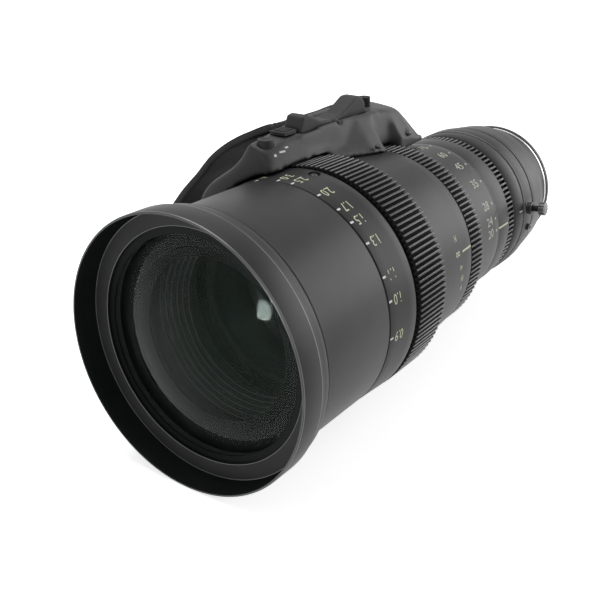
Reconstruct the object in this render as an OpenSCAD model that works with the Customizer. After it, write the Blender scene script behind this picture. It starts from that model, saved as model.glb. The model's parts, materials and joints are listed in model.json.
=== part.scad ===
// Cinema zoom lens with three geared rings and a side drive grip.
// The optical axis lies along Y, the front looks to -Y and the camera is on +Y.
// The origin is the centre of the rear mount's seating face, +Z is up,
// and the index lines face +X. The drive grip holds the -X side and the top.

/* [Front] */
// Radius of the smooth front barrel, on which the other radii hang
front_barrel_r = 52.4; // [52:0.1:53]
// Height of the front ring, which carries a matte box, above the barrel
front_ring_rise = 4.6; // [4.4:0.1:6]
// Thickness of the front ring's shade wall
shade_wall = 1; // [0.8:0.1:1.3]
// Length of the front ring
front_ring_len = 18.5; // [18:0.5:24]
// Depth of the shade in front of the flat ring face
shade_depth = 11; // [10:0.5:12]
// Length of the smooth front barrel
front_barrel_len = 47.5; // [46:0.5:60]
// How far the front glass's edge lies inside the barrel's surface
front_glass_inset = 6.2; // [6:0.1:7.4]
// Radius of curvature of the front glass
front_curve_r = 110; // [105:1:140]
// Wall of the cell around the front glass
front_cell_wall = 2.35; // [2.2:0.05:2.4]

/* [Focus ring] */
// Length of the focus ring's number band
focus_scale_len = 19.7; // [18:0.1:24]
// Width of the groove in front of the focus gear
focus_groove_len = 4; // [3:0.5:6]
// Length of the focus gear
focus_gear_len = 23; // [18:1:28]
// Travel of the focus cell for a whole turn of the ring
focus_pitch = 18; // [16:1:20]
// Angle through which the focus ring turns
focus_turn = 196; // [150:1:200]

/* [Zoom ring] */
// Length of the body between the focus and zoom rings
mid_len = 37.4; // [36:0.2:50]
// Length of the zoom gear
zoom_gear_len = 13; // [10:1:18]
// Length of the zoom ring's number band
zoom_scale_len = 30; // [28:1:40]
// Angle through which the zoom ring turns
zoom_turn = 120; // [90:1:120]
// Travel of the variator cell over the zoom range
variator_travel = 28; // [22:0.5:28]
// Travel of the compensator cell over the zoom range
compensator_travel = 10; // [6:0.5:10]

/* [Iris ring] */
// Length of the fixed ring with the index lines
index_len = 13.7; // [12:0.1:18]
// Length of the iris gear
iris_gear_len = 7.7; // [6:0.1:9]
// Length of the iris ring's number band
iris_scale_len = 12.7; // [12:0.1:18]
// Angle through which the iris ring turns
iris_turn = 60; // [50:1:60]
// Thickness of one iris blade
blade_t = 0.2; // [0.15:0.01:0.22]

/* [Rear] */
// Length of the back focus ring
back_ring_len = 11; // [10.5:0.5:14]
// Length of the conical rear body
neck_len = 37; // [36:0.5:45]
// Width of the mount flange's seat around the tube
flange_seat = 7; // [6.5:0.1:8]
// Thickness of the mount flange
flange_t = 3; // [2.5:0.1:4]
// Radius of the tube that enters the camera
rear_tube_r = 27; // [26.5:0.1:27.5]
// Length of the tube behind the mount flange
rear_tube_len = 16; // [12:0.5:22]

/* [Drive grip] */
// Distance from the barrel's surface to the grip's palm side
grip_reach = 25.6; // [25:0.1:31]
// Height of the control panel above the barrel's surface
grip_rise = 13.6; // [13.2:0.1:16]
// Wall of the grip's housing
grip_wall = 2.5; // [2:0.1:2.8]
// Width of the hand strap
strap_w = 60; // [50:1:64]
// Thickness of the hand strap
strap_t = 3; // [2.5:0.1:4]
// Angle through which the rocker tips to each side
rocker_tip = 6; // [3:0.5:6]

/* [Hidden] */

// Finish of the curves
smooth_sides = 96;
small_sides = 32;

// Clearances
seat_gap = 0.02;
run_gap = 0.05;
ring_gap = 0.3;
overrun = 1;

// Stations along the axis, from the mount forwards
y_flange = -flange_t;
y_neck = y_flange - neck_len;
y_back = y_neck - back_ring_len;
y_iris_end = y_back - ring_gap;
y_iris_band = y_iris_end - iris_scale_len;
y_iris = y_iris_band - iris_gear_len;
y_index_end = y_iris - ring_gap;
y_index = y_index_end - index_len;
y_zoom_end = y_index - ring_gap;
y_zoom_band = y_zoom_end - zoom_scale_len;
y_zoom = y_zoom_band - zoom_gear_len;
y_mid_end = y_zoom - ring_gap;
y_mid = y_mid_end - mid_len;
y_focus_end = y_mid - ring_gap;
y_focus_gear = y_focus_end - focus_gear_len;
y_focus_groove = y_focus_gear - focus_groove_len;
y_focus = y_focus_groove - focus_scale_len;
y_barrel_end = y_focus - ring_gap;
y_barrel = y_barrel_end - front_barrel_len;
y_front = y_barrel - front_ring_len;

// Outer radii in front, and the grip's half width and height
front_ring_r = front_barrel_r + front_ring_rise;
front_glass_r = front_barrel_r - front_glass_inset;
grip_side = front_barrel_r + grip_reach;
grip_top = front_barrel_r + grip_rise;

// Radii of the nested tubes
cell_r = front_glass_r + front_cell_wall;
sleeve_wall = 2.85;
focus_wall = 3.2;
focus_bore = front_barrel_r - focus_wall;
sleeve_r = focus_bore - run_gap;
sleeve_in = sleeve_r - sleeve_wall;
focus_cell_r = sleeve_in - run_gap;
zoom_bore_step = 9.2;
zoom_bore = focus_bore - zoom_bore_step;
guide_r = zoom_bore - run_gap;
guide_wall = 2.35;
guide_in = guide_r - guide_wall;
cam_r = guide_in - run_gap;
cam_wall = 1.95;
cam_in = cam_r - cam_wall;
zoom_cell_r = cam_in - run_gap;
iris_bore_step = 2.4;
iris_bore = zoom_bore - iris_bore_step;
tail_r = iris_bore - run_gap;
tail_wall = 2.3;
tail_in = tail_r - tail_wall;
flange_r = rear_tube_r + flange_seat;

// Gears, all of module 0.8, with the teeth that bring their tips to a height
// above the bore
module_size = 0.8;
half_module = module_size / 2;
tooth_root = 1.25;
focus_gear_h = 4.4;
zoom_gear_h = 7.6;
iris_gear_h = 3.6;
function teeth_at(tip) = round(tip / half_module) - 2;
function tip_r(teeth) = half_module * (teeth + 2);
function pitch_r(teeth) = half_module * teeth;
function root_r(teeth) = pitch_r(teeth) - tooth_root * module_size;
focus_teeth = teeth_at(focus_bore + focus_gear_h);
zoom_teeth = teeth_at(zoom_bore + zoom_gear_h);
iris_teeth = teeth_at(iris_bore + iris_gear_h);
focus_tip_r = tip_r(focus_teeth);
zoom_tip_r = tip_r(zoom_teeth);
iris_tip_r = tip_r(iris_teeth);

// A solid turned about the optical axis from [radius, y] points
module lathe(points) {
  rotate([90, 0, 0]) mirror([0, 0, 1])
    rotate_extrude($fn = smooth_sides) polygon(points);
}

// A plain ring about the optical axis
module ring(outer, inner, y0, y1) {
  lathe([[inner, y0], [outer, y0], [outer, y1], [inner, y1]]);
}

// A child that is drawn along +X is turned to an angle round the optical axis,
// counted from +X towards +Z
module at_angle(angle) {
  rotate([0, -angle, 0]) children();
}

// A pin along +X between two radii
module radial_pin(r, from_r, to_r, y, angle) {
  at_angle(angle) translate([from_r, y, 0]) rotate([0, 90, 0])
    cylinder(r = r, h = to_r - from_r, $fn = small_sides);
}

// An outline in X and Z, made as thick along Y as asked
module plate(y0, y1) {
  translate([0, y1, 0]) rotate([90, 0, 0]) linear_extrude(height = y1 - y0) children();
}

// Part of a ring between two angles
function sector(outer, inner, a0, a1, steps) = concat(
  [for (i = [0:steps]) let (a = a0 + (a1 - a0) * i / steps) [outer * cos(a), outer * sin(a)]],
  [for (i = [0:steps]) let (a = a1 - (a1 - a0) * i / steps) [inner * cos(a), inner * sin(a)]]);

// Points of a lens face: curve is positive where the face bulges along way
lens_steps = 14;
function face(edge_r, y, curve, way) = [for (i = [0:lens_steps])
  let (r = edge_r * i / lens_steps,
       rise = abs(curve) - sqrt(curve * curve - r * r),
       full = abs(curve) - sqrt(curve * curve - edge_r * edge_r))
  [r, y + way * (curve > 0 ? full - rise : rise - full)]];
function backwards(list) = [for (i = [len(list) - 1:-1:0]) list[i]];

// A lens with a flat rim around each curved face
module lens(edge_r, y0, y1, front_r, front_curve, back_r, back_curve) {
  color([0.55, 0.7, 0.68, 0.5])
    lathe(concat(face(front_r, y0, front_curve, -1), [[edge_r, y0], [edge_r, y1]],
      backwards(face(back_r, y1, back_curve, 1))));
}

// Front group
glass_setback = 13;
glass_front_y = y_front + glass_setback;
front_edge_t = 7;
front_back_step = 9.2;
front_back_r = front_glass_r - front_back_step;
front_hollow_r = 62;
glass_back_y = glass_front_y + front_edge_t;
second_step = 2.2;
second_r = front_glass_r - second_step;
second_lead = 2.5;
second_y = glass_back_y + second_lead;
second_edge_t = 7;
glass_rim = 3;
second_face_r = second_r - glass_rim;
second_front_curve = 140;
second_back_curve = 90;
cell_setback = 11.5;
cell_front_y = y_front + cell_setback;
cell_lip = 2;
cell_rim = 0.3;
cell_back_y = second_y + second_edge_t + cell_lip;
retainer_setback = 12;
retainer_y = y_front + retainer_setback;
cell_step = 1;
retainer_play = 0.1;
retainer_t = 1.4;
retainer_lap = 0.7;
retainer_bevel = 0.5;

module front_element() {
  lens(front_glass_r, glass_front_y, glass_back_y, front_glass_r - seat_gap, front_curve_r,
    front_back_r, -front_hollow_r);
}

module second_element() {
  lens(second_r, second_y, second_y + second_edge_t, second_face_r, -second_front_curve,
    second_face_r, second_back_curve);
}

module front_retaining_ring() {
  edge = front_glass_r + retainer_play;
  inner = front_glass_r - retainer_lap;
  outer = cell_r - cell_rim - seat_gap;
  color([0.06, 0.06, 0.07])
    lathe([[inner, retainer_y], [outer, retainer_y], [outer, retainer_y + retainer_t],
      [edge, retainer_y + retainer_t], [edge, glass_front_y + seat_gap],
      [inner, glass_front_y - retainer_bevel]]);
}

module front_cell() {
  seat = front_glass_r + run_gap;
  inner_seat = second_r + run_gap;
  recess = cell_r - cell_rim;
  color([0.1, 0.1, 0.11])
    lathe([[recess, cell_front_y], [cell_r, cell_front_y], [cell_r, cell_back_y],
      [second_face_r, cell_back_y], [second_face_r, second_y + second_edge_t + seat_gap],
      [inner_seat, second_y + second_edge_t + seat_gap], [inner_seat, second_y],
      [front_back_r + cell_step, second_y - seat_gap],
      [front_back_r + cell_step, glass_back_y + seat_gap],
      [seat, glass_back_y + seat_gap], [seat, retainer_y + retainer_t + seat_gap],
      [recess, retainer_y + retainer_t + seat_gap]]);
}

// Front ring: band, small step, taper and a groove before the barrel
band_len = 11.5;
band_step = 0.6;
band_taper = 0.8;
rim_round = 0.4;
groove_len = 1;
groove_rise = 1;
groove_r = front_barrel_r + groove_rise;
shade_taper = 0.5;

module front_ring() {
  shade_r = front_ring_r - shade_wall;
  color([0.12, 0.12, 0.13])
    lathe([[shade_r, y_front], [front_ring_r - rim_round, y_front],
      [front_ring_r, y_front + rim_round], [front_ring_r, y_front + band_len],
      [front_ring_r - band_step, y_front + band_len + rim_round],
      [front_ring_r - band_step - band_taper, y_barrel - groove_len],
      [groove_r, y_barrel - groove_len], [groove_r, y_barrel],
      [cell_r + seat_gap, y_barrel], [cell_r + seat_gap, y_front + shade_depth],
      [shade_r - shade_taper, y_front + shade_depth],
      [shade_r - shade_taper, y_front + shade_depth - rim_round]]);
}

// Front barrel, with a socket for the sleeve that runs under the focus ring
collar_step = 2.4;
collar_len = 1.5;
collar_fillet = 3;
fillet_share = 0.8;
fillet_steps = 4;
socket_len = 10;

module front_barrel() {
  fillet = [for (i = [0:fillet_steps]) let (a = 90 * i / fillet_steps)
    [front_barrel_r + collar_step * fillet_share * (1 - sin(a)),
     y_barrel + collar_len + collar_fillet * (1 - cos(a))]];
  color([0.13, 0.13, 0.14])
    lathe(concat([[cell_r + seat_gap, y_barrel], [front_barrel_r + collar_step, y_barrel],
      [front_barrel_r + collar_step, y_barrel + collar_len]], fillet,
      [[front_barrel_r, y_barrel_end - rim_round], [front_barrel_r - rim_round, y_barrel_end],
       [sleeve_r + seat_gap, y_barrel_end], [sleeve_r + seat_gap, y_barrel_end - socket_len],
       [cell_r + seat_gap, y_barrel_end - socket_len]]));
}

// Focus drive: three studs of the cell slide in straight slots of the sleeve
// and follow helical grooves in the bore of the focus ring
stud_r = 1.5;
stud_gap = 0.05;
groove_gap = 0.1;
stud_count = 3;
stud_first_angle = 90;
focus_low = 6;
focus_stud_lead = 10;
focus_stud_y = y_focus + focus_stud_lead;
focus_groove_depth = 1.7;
groove_margin = 3;
focus_stud_reach = 1.2;
focus_run = focus_pitch * (focus_turn - focus_low) / 360;
focus_back_run = focus_pitch * focus_low / 360;
helix_step = 6;

// A helical channel, cut from radius r0 to r1, for a stud that moves from y0
// by rise for each degree, between two angles of the ring
module helix_cut(r0, r1, half_w, y0, rise, a0, a1) {
  n = ceil((a1 - a0) / helix_step);
  slope = atan(rise * 180 / PI / r1);
  reach = half_w / cos(slope);
  points = [for (i = [0:n]) let (a = a0 + (a1 - a0) * i / n, y = y0 + rise * a)
    each [[r0, y - reach, a], [r1, y - reach, a], [r1, y + reach, a], [r0, y + reach, a]]];
  at = [for (p = points) [p[0] * cos(p[2]), p[1], p[0] * sin(p[2])]];
  sides = [for (i = [0:n - 1]) for (k = [0:3])
    let (a = 4 * i + k, b = 4 * i + (k + 1) % 4) each [[a, b + 4, b], [a, a + 4, b + 4]]];
  ends = [[0, 2, 3], [0, 1, 2], [4 * n, 4 * n + 2, 4 * n + 1], [4 * n, 4 * n + 3, 4 * n + 2]];
  polyhedron(points = at, faces = concat(sides, ends), convexity = 4);
}

module studs(r, from_r, to_r, y, first_angle) {
  for (k = [0:stud_count - 1])
    radial_pin(r, from_r, to_r, y, first_angle + k * 360 / stud_count);
}

// Straight slots for the studs, cut through a tube
module stud_slots(from_r, to_r, y0, y1, first_angle) {
  half_w = stud_r + stud_gap;
  for (k = [0:stud_count - 1]) at_angle(first_angle + k * 360 / stud_count) {
    translate([from_r, y0, -half_w]) cube([to_r - from_r, y1 - y0, 2 * half_w]);
    for (y = [y0, y1]) translate([from_r, y, 0]) rotate([0, 90, 0])
      cylinder(r = half_w, h = to_r - from_r, $fn = small_sides);
  }
}

focus_taper = 0.9;
focus_groove_step = 2.4;
focus_rear_r = front_barrel_r + focus_taper;
scale_hole_r = 2.6;
scale_hole_depth = 2;
scale_hole_inset = 3.2;
scale_hole_y = y_focus_groove - scale_hole_inset;
scale_hole_angle = 85.5;

module focus_ring() {
  color([0.13, 0.13, 0.14]) difference() {
    lathe([[focus_bore, y_focus], [front_barrel_r - rim_round, y_focus],
      [front_barrel_r, y_focus + rim_round], [focus_rear_r, y_focus_groove],
      [focus_rear_r - focus_groove_step, y_focus_groove + rim_round],
      [focus_rear_r - focus_groove_step, y_focus_gear], [focus_bore, y_focus_gear]]);
    for (k = [0:stud_count - 1])
      at_angle(stud_first_angle + k * 360 / stud_count)
        helix_cut(focus_bore - overrun, focus_bore + focus_groove_depth, stud_r + groove_gap,
          focus_stud_y, focus_pitch / 360, -focus_low - groove_margin,
          focus_turn - focus_low + groove_margin);
    at_angle(scale_hole_angle) translate([focus_rear_r - scale_hole_depth, scale_hole_y, 0])
      rotate([0, 90, 0]) cylinder(r = scale_hole_r, h = scale_hole_depth + overrun,
        $fn = small_sides);
  }
}

// A toothed ring: straight flanks, rounded off at the two end faces by a chamfer
flank_root_share = 0.31;
flank_tip_share = 0.15;
tooth_chamfer = 0.6;

function gear_outline(teeth, tip) = [for (i = [0:teeth - 1]) let (p = 360 / teeth, c = i * p)
  each [[root_r(teeth), c - p * flank_root_share], [tip, c - p * flank_tip_share],
        [tip, c + p * flank_tip_share], [root_r(teeth), c + p * flank_root_share]]];

module toothed_ring(teeth, tip, bore, y0, y1, turn) {
  outline = [for (q = gear_outline(teeth, tip)) [q[0] * cos(q[1] + turn), q[0] * sin(q[1] + turn)]];
  intersection() {
    difference() {
      plate(y0, y1) polygon(outline);
      ring(bore, 0, y0 - overrun, y1 + overrun);
    }
    lathe([[0, y0], [tip - tooth_chamfer, y0], [tip + overrun, y0 + tooth_chamfer + overrun],
      [tip + overrun, y1 - tooth_chamfer - overrun], [tip - tooth_chamfer, y1], [0, y1]]);
  }
}

module focus_gear() {
  color([0.11, 0.11, 0.12])
    toothed_ring(focus_teeth, focus_tip_r, focus_bore, y_focus_gear, y_focus_end, focus_mesh);
}

// Focus cell and its glass
focus_cell_back = 14;
focus_cell_front = 10;
focus_glass_step = 8.2;
focus_glass_r = focus_bore - focus_glass_step;
focus_glass_t = 9;
focus_face_r = focus_glass_r - glass_rim;
back_face_step = 2;
focus_front_curve = 95;
focus_back_curve = 70;
cell_web = 3;

module focus_cell() {
  y0 = focus_stud_y - focus_cell_front;
  y1 = focus_stud_y + focus_cell_back;
  color([0.2, 0.2, 0.21]) union() {
    lathe([[focus_glass_r + run_gap, y0], [focus_cell_r, y0], [focus_cell_r, y1],
      [focus_face_r, y1], [focus_face_r, y0 + focus_glass_t + seat_gap],
      [focus_glass_r + run_gap, y0 + focus_glass_t + seat_gap]]);
    studs(stud_r, focus_cell_r - cell_web, focus_bore + focus_stud_reach, focus_stud_y,
      stud_first_angle);
  }
}

module focus_element() {
  y0 = focus_stud_y - focus_cell_front;
  lens(focus_glass_r, y0, y0 + focus_glass_t, focus_face_r, focus_front_curve,
    focus_face_r - back_face_step, -focus_back_curve);
}

// Body between the focus and zoom rings, one piece with the sleeve in front
mid_front_step = 2.4;
mid_front_r = front_barrel_r - mid_front_step;
mid_rear_r = mid_front_r - mid_front_step;
mid_shell = 2.5;
mid_web = 6;

module mid_body() {
  color([0.13, 0.13, 0.14]) difference() {
    lathe([[sleeve_in, y_barrel_end - socket_len], [sleeve_r, y_barrel_end - socket_len],
      [sleeve_r, y_mid], [mid_front_r, y_mid], [mid_front_r, y_mid + rim_round],
      [mid_rear_r, y_mid_end - rim_round], [mid_rear_r - rim_round, y_mid_end],
      [mid_rear_r - mid_shell, y_mid_end], [mid_rear_r - mid_shell, y_mid + mid_web],
      [guide_r + seat_gap, y_mid + mid_web], [guide_r + seat_gap, y_mid],
      [sleeve_in, y_mid - mid_web]]);
    stud_slots(sleeve_in - overrun, sleeve_r + overrun, focus_stud_y - focus_back_run - stud_gap,
      focus_stud_y + focus_run + stud_gap, stud_first_angle);
  }
}

// Fixed guide tube with straight slots, and the cam tube that turns inside it
zoom_first_angle = 30;
variator_lead = 14;
compensator_inset = 10.5;
drive_pin_inset = 4.5;
cam_lead = 5;
cam_inset = 1.5;
variator_y = y_mid + variator_lead;
compensator_y = y_zoom_end - compensator_inset;
drive_pin_y = y_zoom_end - drive_pin_inset;
drive_pin_angle = 60;
drive_margin = 2;
slot_margin = drive_margin + asin((stud_r + groove_gap) / cam_in);
cam_front_y = y_mid + cam_lead;
cam_back_y = y_zoom_end - cam_inset;
guide_step_len = 1;

module guide_tube() {
  half_w = stud_r + stud_gap;
  color([0.45, 0.45, 0.47]) difference() {
    lathe([[guide_in, y_mid], [guide_r, y_mid], [guide_r, y_index_end],
      [tail_r, y_index_end], [tail_r, y_back - seat_gap], [tail_in, y_back - seat_gap],
      [tail_in, y_index_end - guide_step_len], [guide_in, y_index_end - guide_step_len]]);
    stud_slots(guide_in - overrun, guide_r + overrun, variator_y, variator_y + variator_travel,
      zoom_first_angle);
    stud_slots(guide_in - overrun, guide_r + overrun, compensator_y - compensator_travel,
      compensator_y, zoom_first_angle);
    arc_slot(guide_in - overrun, guide_r + overrun, drive_pin_y - half_w, drive_pin_y + half_w,
      drive_pin_angle - zoom_turn - slot_margin, drive_pin_angle + slot_margin);
    arc_slot(tail_in - overrun, tail_r + overrun, iris_pin_y - half_w, iris_pin_y + half_w,
      iris_pin_angle - iris_turn - slot_margin, iris_pin_angle + slot_margin);
  }
}

// A slot round part of a tube
module arc_slot(from_r, to_r, y0, y1, a0, a1) {
  rotate([90, 0, 0]) mirror([0, 0, 1]) rotate([0, 0, a0])
    rotate_extrude(angle = a1 - a0, $fn = smooth_sides)
      polygon([[from_r, y0], [to_r, y0], [to_r, y1], [from_r, y1]]);
}

module cam_tube() {
  color([0.6, 0.55, 0.4]) union() {
    difference() {
      ring(cam_r, cam_in, cam_front_y, cam_back_y);
      for (k = [0:stud_count - 1]) at_angle(zoom_first_angle + k * 360 / stud_count) {
        helix_cut(cam_in - overrun, cam_r + overrun, stud_r + groove_gap, variator_y,
          variator_travel / zoom_turn, -slot_margin, zoom_turn + slot_margin);
        helix_cut(cam_in - overrun, cam_r + overrun, stud_r + groove_gap, compensator_y,
          -compensator_travel / zoom_turn, -slot_margin, zoom_turn + slot_margin);
      }
    }
    radial_pin(stud_r, cam_in + overrun, zoom_bore + drive_pin_seat, drive_pin_y, drive_pin_angle);
  }
}

drive_pin_seat = 1.2;
zoom_front_wall = 4;
zoom_rear_wall = 2;
zoom_front_r = zoom_bore + zoom_front_wall;
zoom_rear_r = zoom_bore + zoom_rear_wall;
zoom_shoulder = 1.2;

module zoom_ring() {
  color([0.13, 0.13, 0.14]) difference() {
    lathe([[zoom_bore, y_zoom_band], [zoom_front_r, y_zoom_band],
      [zoom_front_r, y_zoom_band + zoom_shoulder], [zoom_rear_r, y_zoom_end - rim_round],
      [zoom_rear_r - rim_round, y_zoom_end], [zoom_bore, y_zoom_end]]);
    radial_pin(stud_r + seat_gap, zoom_bore - overrun, zoom_bore + drive_pin_seat + seat_gap,
      drive_pin_y, drive_pin_angle);
  }
}

module zoom_gear() {
  color([0.11, 0.11, 0.12])
    toothed_ring(zoom_teeth, zoom_tip_r, zoom_bore, y_zoom, y_zoom_band, zoom_mesh);
}

// Zoom cells, each with three studs through the cam slots into the guide slots
variator_half = 7;
variator_glass_step = 14;
variator_glass_r = zoom_bore - variator_glass_step;
compensator_half = 6;
compensator_glass_step = 16;
compensator_glass_r = zoom_bore - compensator_glass_step;
zoom_glass_t = 6;
zoom_face_share = 0.9;
zoom_curve = 60;

module zoom_cell(y, half_len, glass_r) {
  color([0.2, 0.2, 0.21]) union() {
    lathe([[glass_r + run_gap, y - half_len], [zoom_cell_r, y - half_len],
      [zoom_cell_r, y + half_len], [glass_r * zoom_face_share, y + half_len],
      [glass_r * zoom_face_share, y - half_len + zoom_glass_t + seat_gap],
      [glass_r + run_gap, y - half_len + zoom_glass_t + seat_gap]]);
    studs(stud_r, zoom_cell_r - cell_web, guide_r - stud_gap, y, zoom_first_angle);
  }
}

module variator_cell() {
  zoom_cell(variator_y, variator_half, variator_glass_r);
}

module variator_element() {
  y0 = variator_y - variator_half;
  face_r = variator_glass_r * zoom_face_share;
  lens(variator_glass_r, y0, y0 + zoom_glass_t, face_r, -zoom_curve * 2, face_r, -zoom_curve * 2);
}

module compensator_cell() {
  zoom_cell(compensator_y, compensator_half, compensator_glass_r);
}

module compensator_element() {
  y0 = compensator_y - compensator_half;
  face_r = compensator_glass_r * zoom_face_share;
  lens(compensator_glass_r, y0, y0 + zoom_glass_t, face_r, zoom_curve, face_r, zoom_curve);
}

// Fixed ring with the index lines, and the relay group inside it
index_wall = 1.7;
index_r = zoom_bore + index_wall;
relay_glass_r = compensator_glass_r;
relay_t = 6;
relay_lip = 2;
relay_lead = 1;

module index_ring() {
  color([0.12, 0.12, 0.13])
    lathe([[guide_r + seat_gap, y_index], [index_r - rim_round, y_index],
      [index_r, y_index + rim_round], [index_r, y_index_end - rim_round],
      [index_r - rim_round, y_index_end], [guide_r + seat_gap, y_index_end]]);
}

module relay_cell() {
  y0 = y_index + relay_lead;
  y1 = y0 + relay_t + relay_lip;
  color([0.2, 0.2, 0.21])
    lathe([[relay_glass_r + run_gap, y0], [guide_in - seat_gap, y0], [guide_in - seat_gap, y1],
      [relay_glass_r * zoom_face_share, y1],
      [relay_glass_r * zoom_face_share, y0 + relay_t + seat_gap],
      [relay_glass_r + run_gap, y0 + relay_t + seat_gap]]);
}

module relay_element() {
  y0 = y_index + relay_lead;
  face_r = relay_glass_r * zoom_face_share;
  lens(relay_glass_r, y0, y0 + relay_t, face_r, zoom_curve, face_r - back_face_step,
    -zoom_curve);
}

// Iris: nine blades, each on its own level, turn on pins in a fixed base
// and are swung by slots in a ring that the outer iris ring turns
blade_count = 9;
blade_gap = 0.15;
blade_pitch = blade_t + blade_gap;
pivot_ring_step = 11.6;
pivot_ring_r = iris_bore - pivot_ring_step;
blade_arm = 9;
blade_arm_angle = 40;
blade_swing = 32;
pivot_pin_r = 0.7;
blade_arc_shift = 8;
blade_arc_r = pivot_ring_r - blade_arc_shift;
blade_start = -6;
blade_steps = 16;
blade_half_w = 1.75;
blade_span = 108;
base_t = 2;
base_lead = 1.5;
base_y = y_iris + base_lead;
base_step = 7;
base_in = pivot_ring_r - base_step;
drive_t = 2;
blades_y = base_y + base_t + blade_gap;
blades_end = blades_y + blade_count * blade_pitch;
iris_pin_r = 0.9;
iris_pin_y = blades_end + drive_t / 2;
iris_pin_angle = 200;
iris_pin_seat = 1.2;

function turned(p, a) = [p[0] * cos(a) - p[1] * sin(a), p[0] * sin(a) + p[1] * cos(a)];
// Place of a blade's drive pin when the blade has swung by b
function drive_point(b) = [pivot_ring_r + blade_arm * cos(blade_arm_angle + b),
  blade_arm * sin(blade_arm_angle + b)];
// The same place seen from the drive ring, which turns the other way
function slot_point(t) = turned(drive_point(blade_swing * t), iris_turn * t);

slot_steps = 14;
slot_end_share = 0.03;
slot_gap = 0.1;
slot_nudge = 0.01;

module drive_slot() {
  half_w = pivot_pin_r + slot_gap;
  ts = [for (i = [0:slot_steps]) -slot_end_share + (1 + 2 * slot_end_share) * i / slot_steps];
  side = function (t, w) let (d = slot_point(t + slot_nudge) - slot_point(t - slot_nudge), n = d / norm(d))
    slot_point(t) + w * [-n[1], n[0]];
  polygon(concat([for (t = ts) side(t, half_w)], [for (t = backwards(ts)) side(t, -half_w)]));
}

module iris_base() {
  color([0.16, 0.16, 0.17]) difference() {
    ring(tail_in - seat_gap, base_in, base_y, base_y + base_t);
    for (k = [0:blade_count - 1]) at_angle(k * 360 / blade_count)
      translate([pivot_ring_r, base_y - overrun, 0]) rotate([-90, 0, 0])
        cylinder(r = pivot_pin_r + run_gap, h = base_t + 2 * overrun, $fn = small_sides);
  }
}

module iris_drive_ring() {
  color([0.5, 0.5, 0.52]) difference() {
    union() {
      ring(tail_in - run_gap, base_in, blades_end, blades_end + drive_t);
      radial_pin(iris_pin_r, tail_in - overrun, iris_bore + iris_pin_seat, iris_pin_y,
        iris_pin_angle);
    }
    for (k = [0:blade_count - 1])
      plate(blades_end - overrun, blades_end + drive_t + overrun)
        rotate([0, 0, k * 360 / blade_count]) drive_slot();
  }
}

module iris_blade(k) {
  y0 = blades_y + k * blade_pitch;
  color([0.25, 0.25, 0.26]) at_angle(k * 360 / blade_count) union() {
    plate(y0, y0 + blade_t) union() {
      translate([blade_arc_shift, 0])
        polygon(sector(blade_arc_r + blade_half_w, blade_arc_r - blade_half_w, blade_start,
          blade_span, blade_steps));
      translate([pivot_ring_r, 0]) rotate([0, 0, blade_arm_angle])
        translate([0, -blade_half_w]) square([blade_arm, 2 * blade_half_w]);
      translate([pivot_ring_r, 0]) circle(r = blade_half_w, $fn = small_sides);
      translate(drive_point(0)) circle(r = blade_half_w, $fn = small_sides);
    }
    translate([pivot_ring_r, base_y, 0]) rotate([-90, 0, 0])
      cylinder(r = pivot_pin_r, h = y0 - base_y + blade_t / 2, $fn = small_sides);
    translate([drive_point(0)[0], y0 + blade_t / 2, drive_point(0)[1]]) rotate([-90, 0, 0])
      cylinder(r = pivot_pin_r, h = blades_end + drive_t - y0 - blade_t / 2, $fn = small_sides);
  }
}

iris_front_wall = 3;
iris_rear_wall = 3.6;
iris_front_r = iris_bore + iris_front_wall;
iris_rear_r = iris_bore + iris_rear_wall;

module iris_ring() {
  color([0.13, 0.13, 0.14]) difference() {
    union() {
      toothed_ring(iris_teeth, iris_tip_r, iris_bore, y_iris, y_iris_band, iris_mesh);
      lathe([[iris_bore, y_iris_band - seat_gap], [iris_front_r - rim_round, y_iris_band - seat_gap],
        [iris_front_r, y_iris_band + rim_round], [iris_rear_r, y_iris_end - rim_round],
        [iris_rear_r - rim_round, y_iris_end], [iris_bore, y_iris_end]]);
    }
    radial_pin(iris_pin_r + seat_gap, iris_bore - overrun, iris_bore + iris_pin_seat + seat_gap,
      iris_pin_y, iris_pin_angle);
  }
}

// Rear body, back focus ring and mount
back_bore_step = 1;
back_ring_wall = 3;
back_bore = iris_bore + back_bore_step;
back_ring_r = back_bore + back_ring_wall;
back_sleeve_r = back_bore - run_gap;
rear_bore_step = 7.6;
rear_bore = iris_bore - rear_bore_step;
neck_front_r = iris_rear_r;
neck_mid_r = back_bore;
neck_rim = 2;
neck_steps = 6;
neck_mid_share = 0.6;
neck_end_step = 0.6;
neck_groove = 1.5;
neck_groove_depth = 0.7;
rear_wall_len = 5;
// The tube behind the mount is set into the body by a thinner spigot
spigot_step = 0.6;
spigot_r = rear_tube_r - spigot_step;
// A small relief round its root keeps the seat flat up to the edge
seat_relief = 0.3;
seat_relief_depth = 0.8;

module rear_body() {
  neck_mid = y_neck + neck_len * neck_mid_share;
  curve = [for (i = [0:neck_steps]) let (a = 90 * i / neck_steps)
    [neck_mid_r - (neck_mid_r - flange_r - neck_end_step) * sin(a),
     neck_mid + (y_flange - neck_rim - neck_mid) * (1 - cos(a))]];
  color([0.12, 0.12, 0.13])
    lathe(concat([[tail_in, y_back], [back_sleeve_r, y_back], [back_sleeve_r, y_neck],
      [neck_front_r - neck_groove_depth, y_neck],
      [neck_front_r - neck_groove_depth, y_neck + neck_groove],
      [neck_front_r, y_neck + neck_groove]], curve,
      [[flange_r + neck_end_step / 2, y_flange], [spigot_r + seat_gap, y_flange],
       [spigot_r + seat_gap, y_flange - rear_wall_len], [rear_bore, y_flange - rear_wall_len],
       [rear_bore, y_back + rear_wall_len], [tail_in, y_back + rear_wall_len]]));
}

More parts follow.
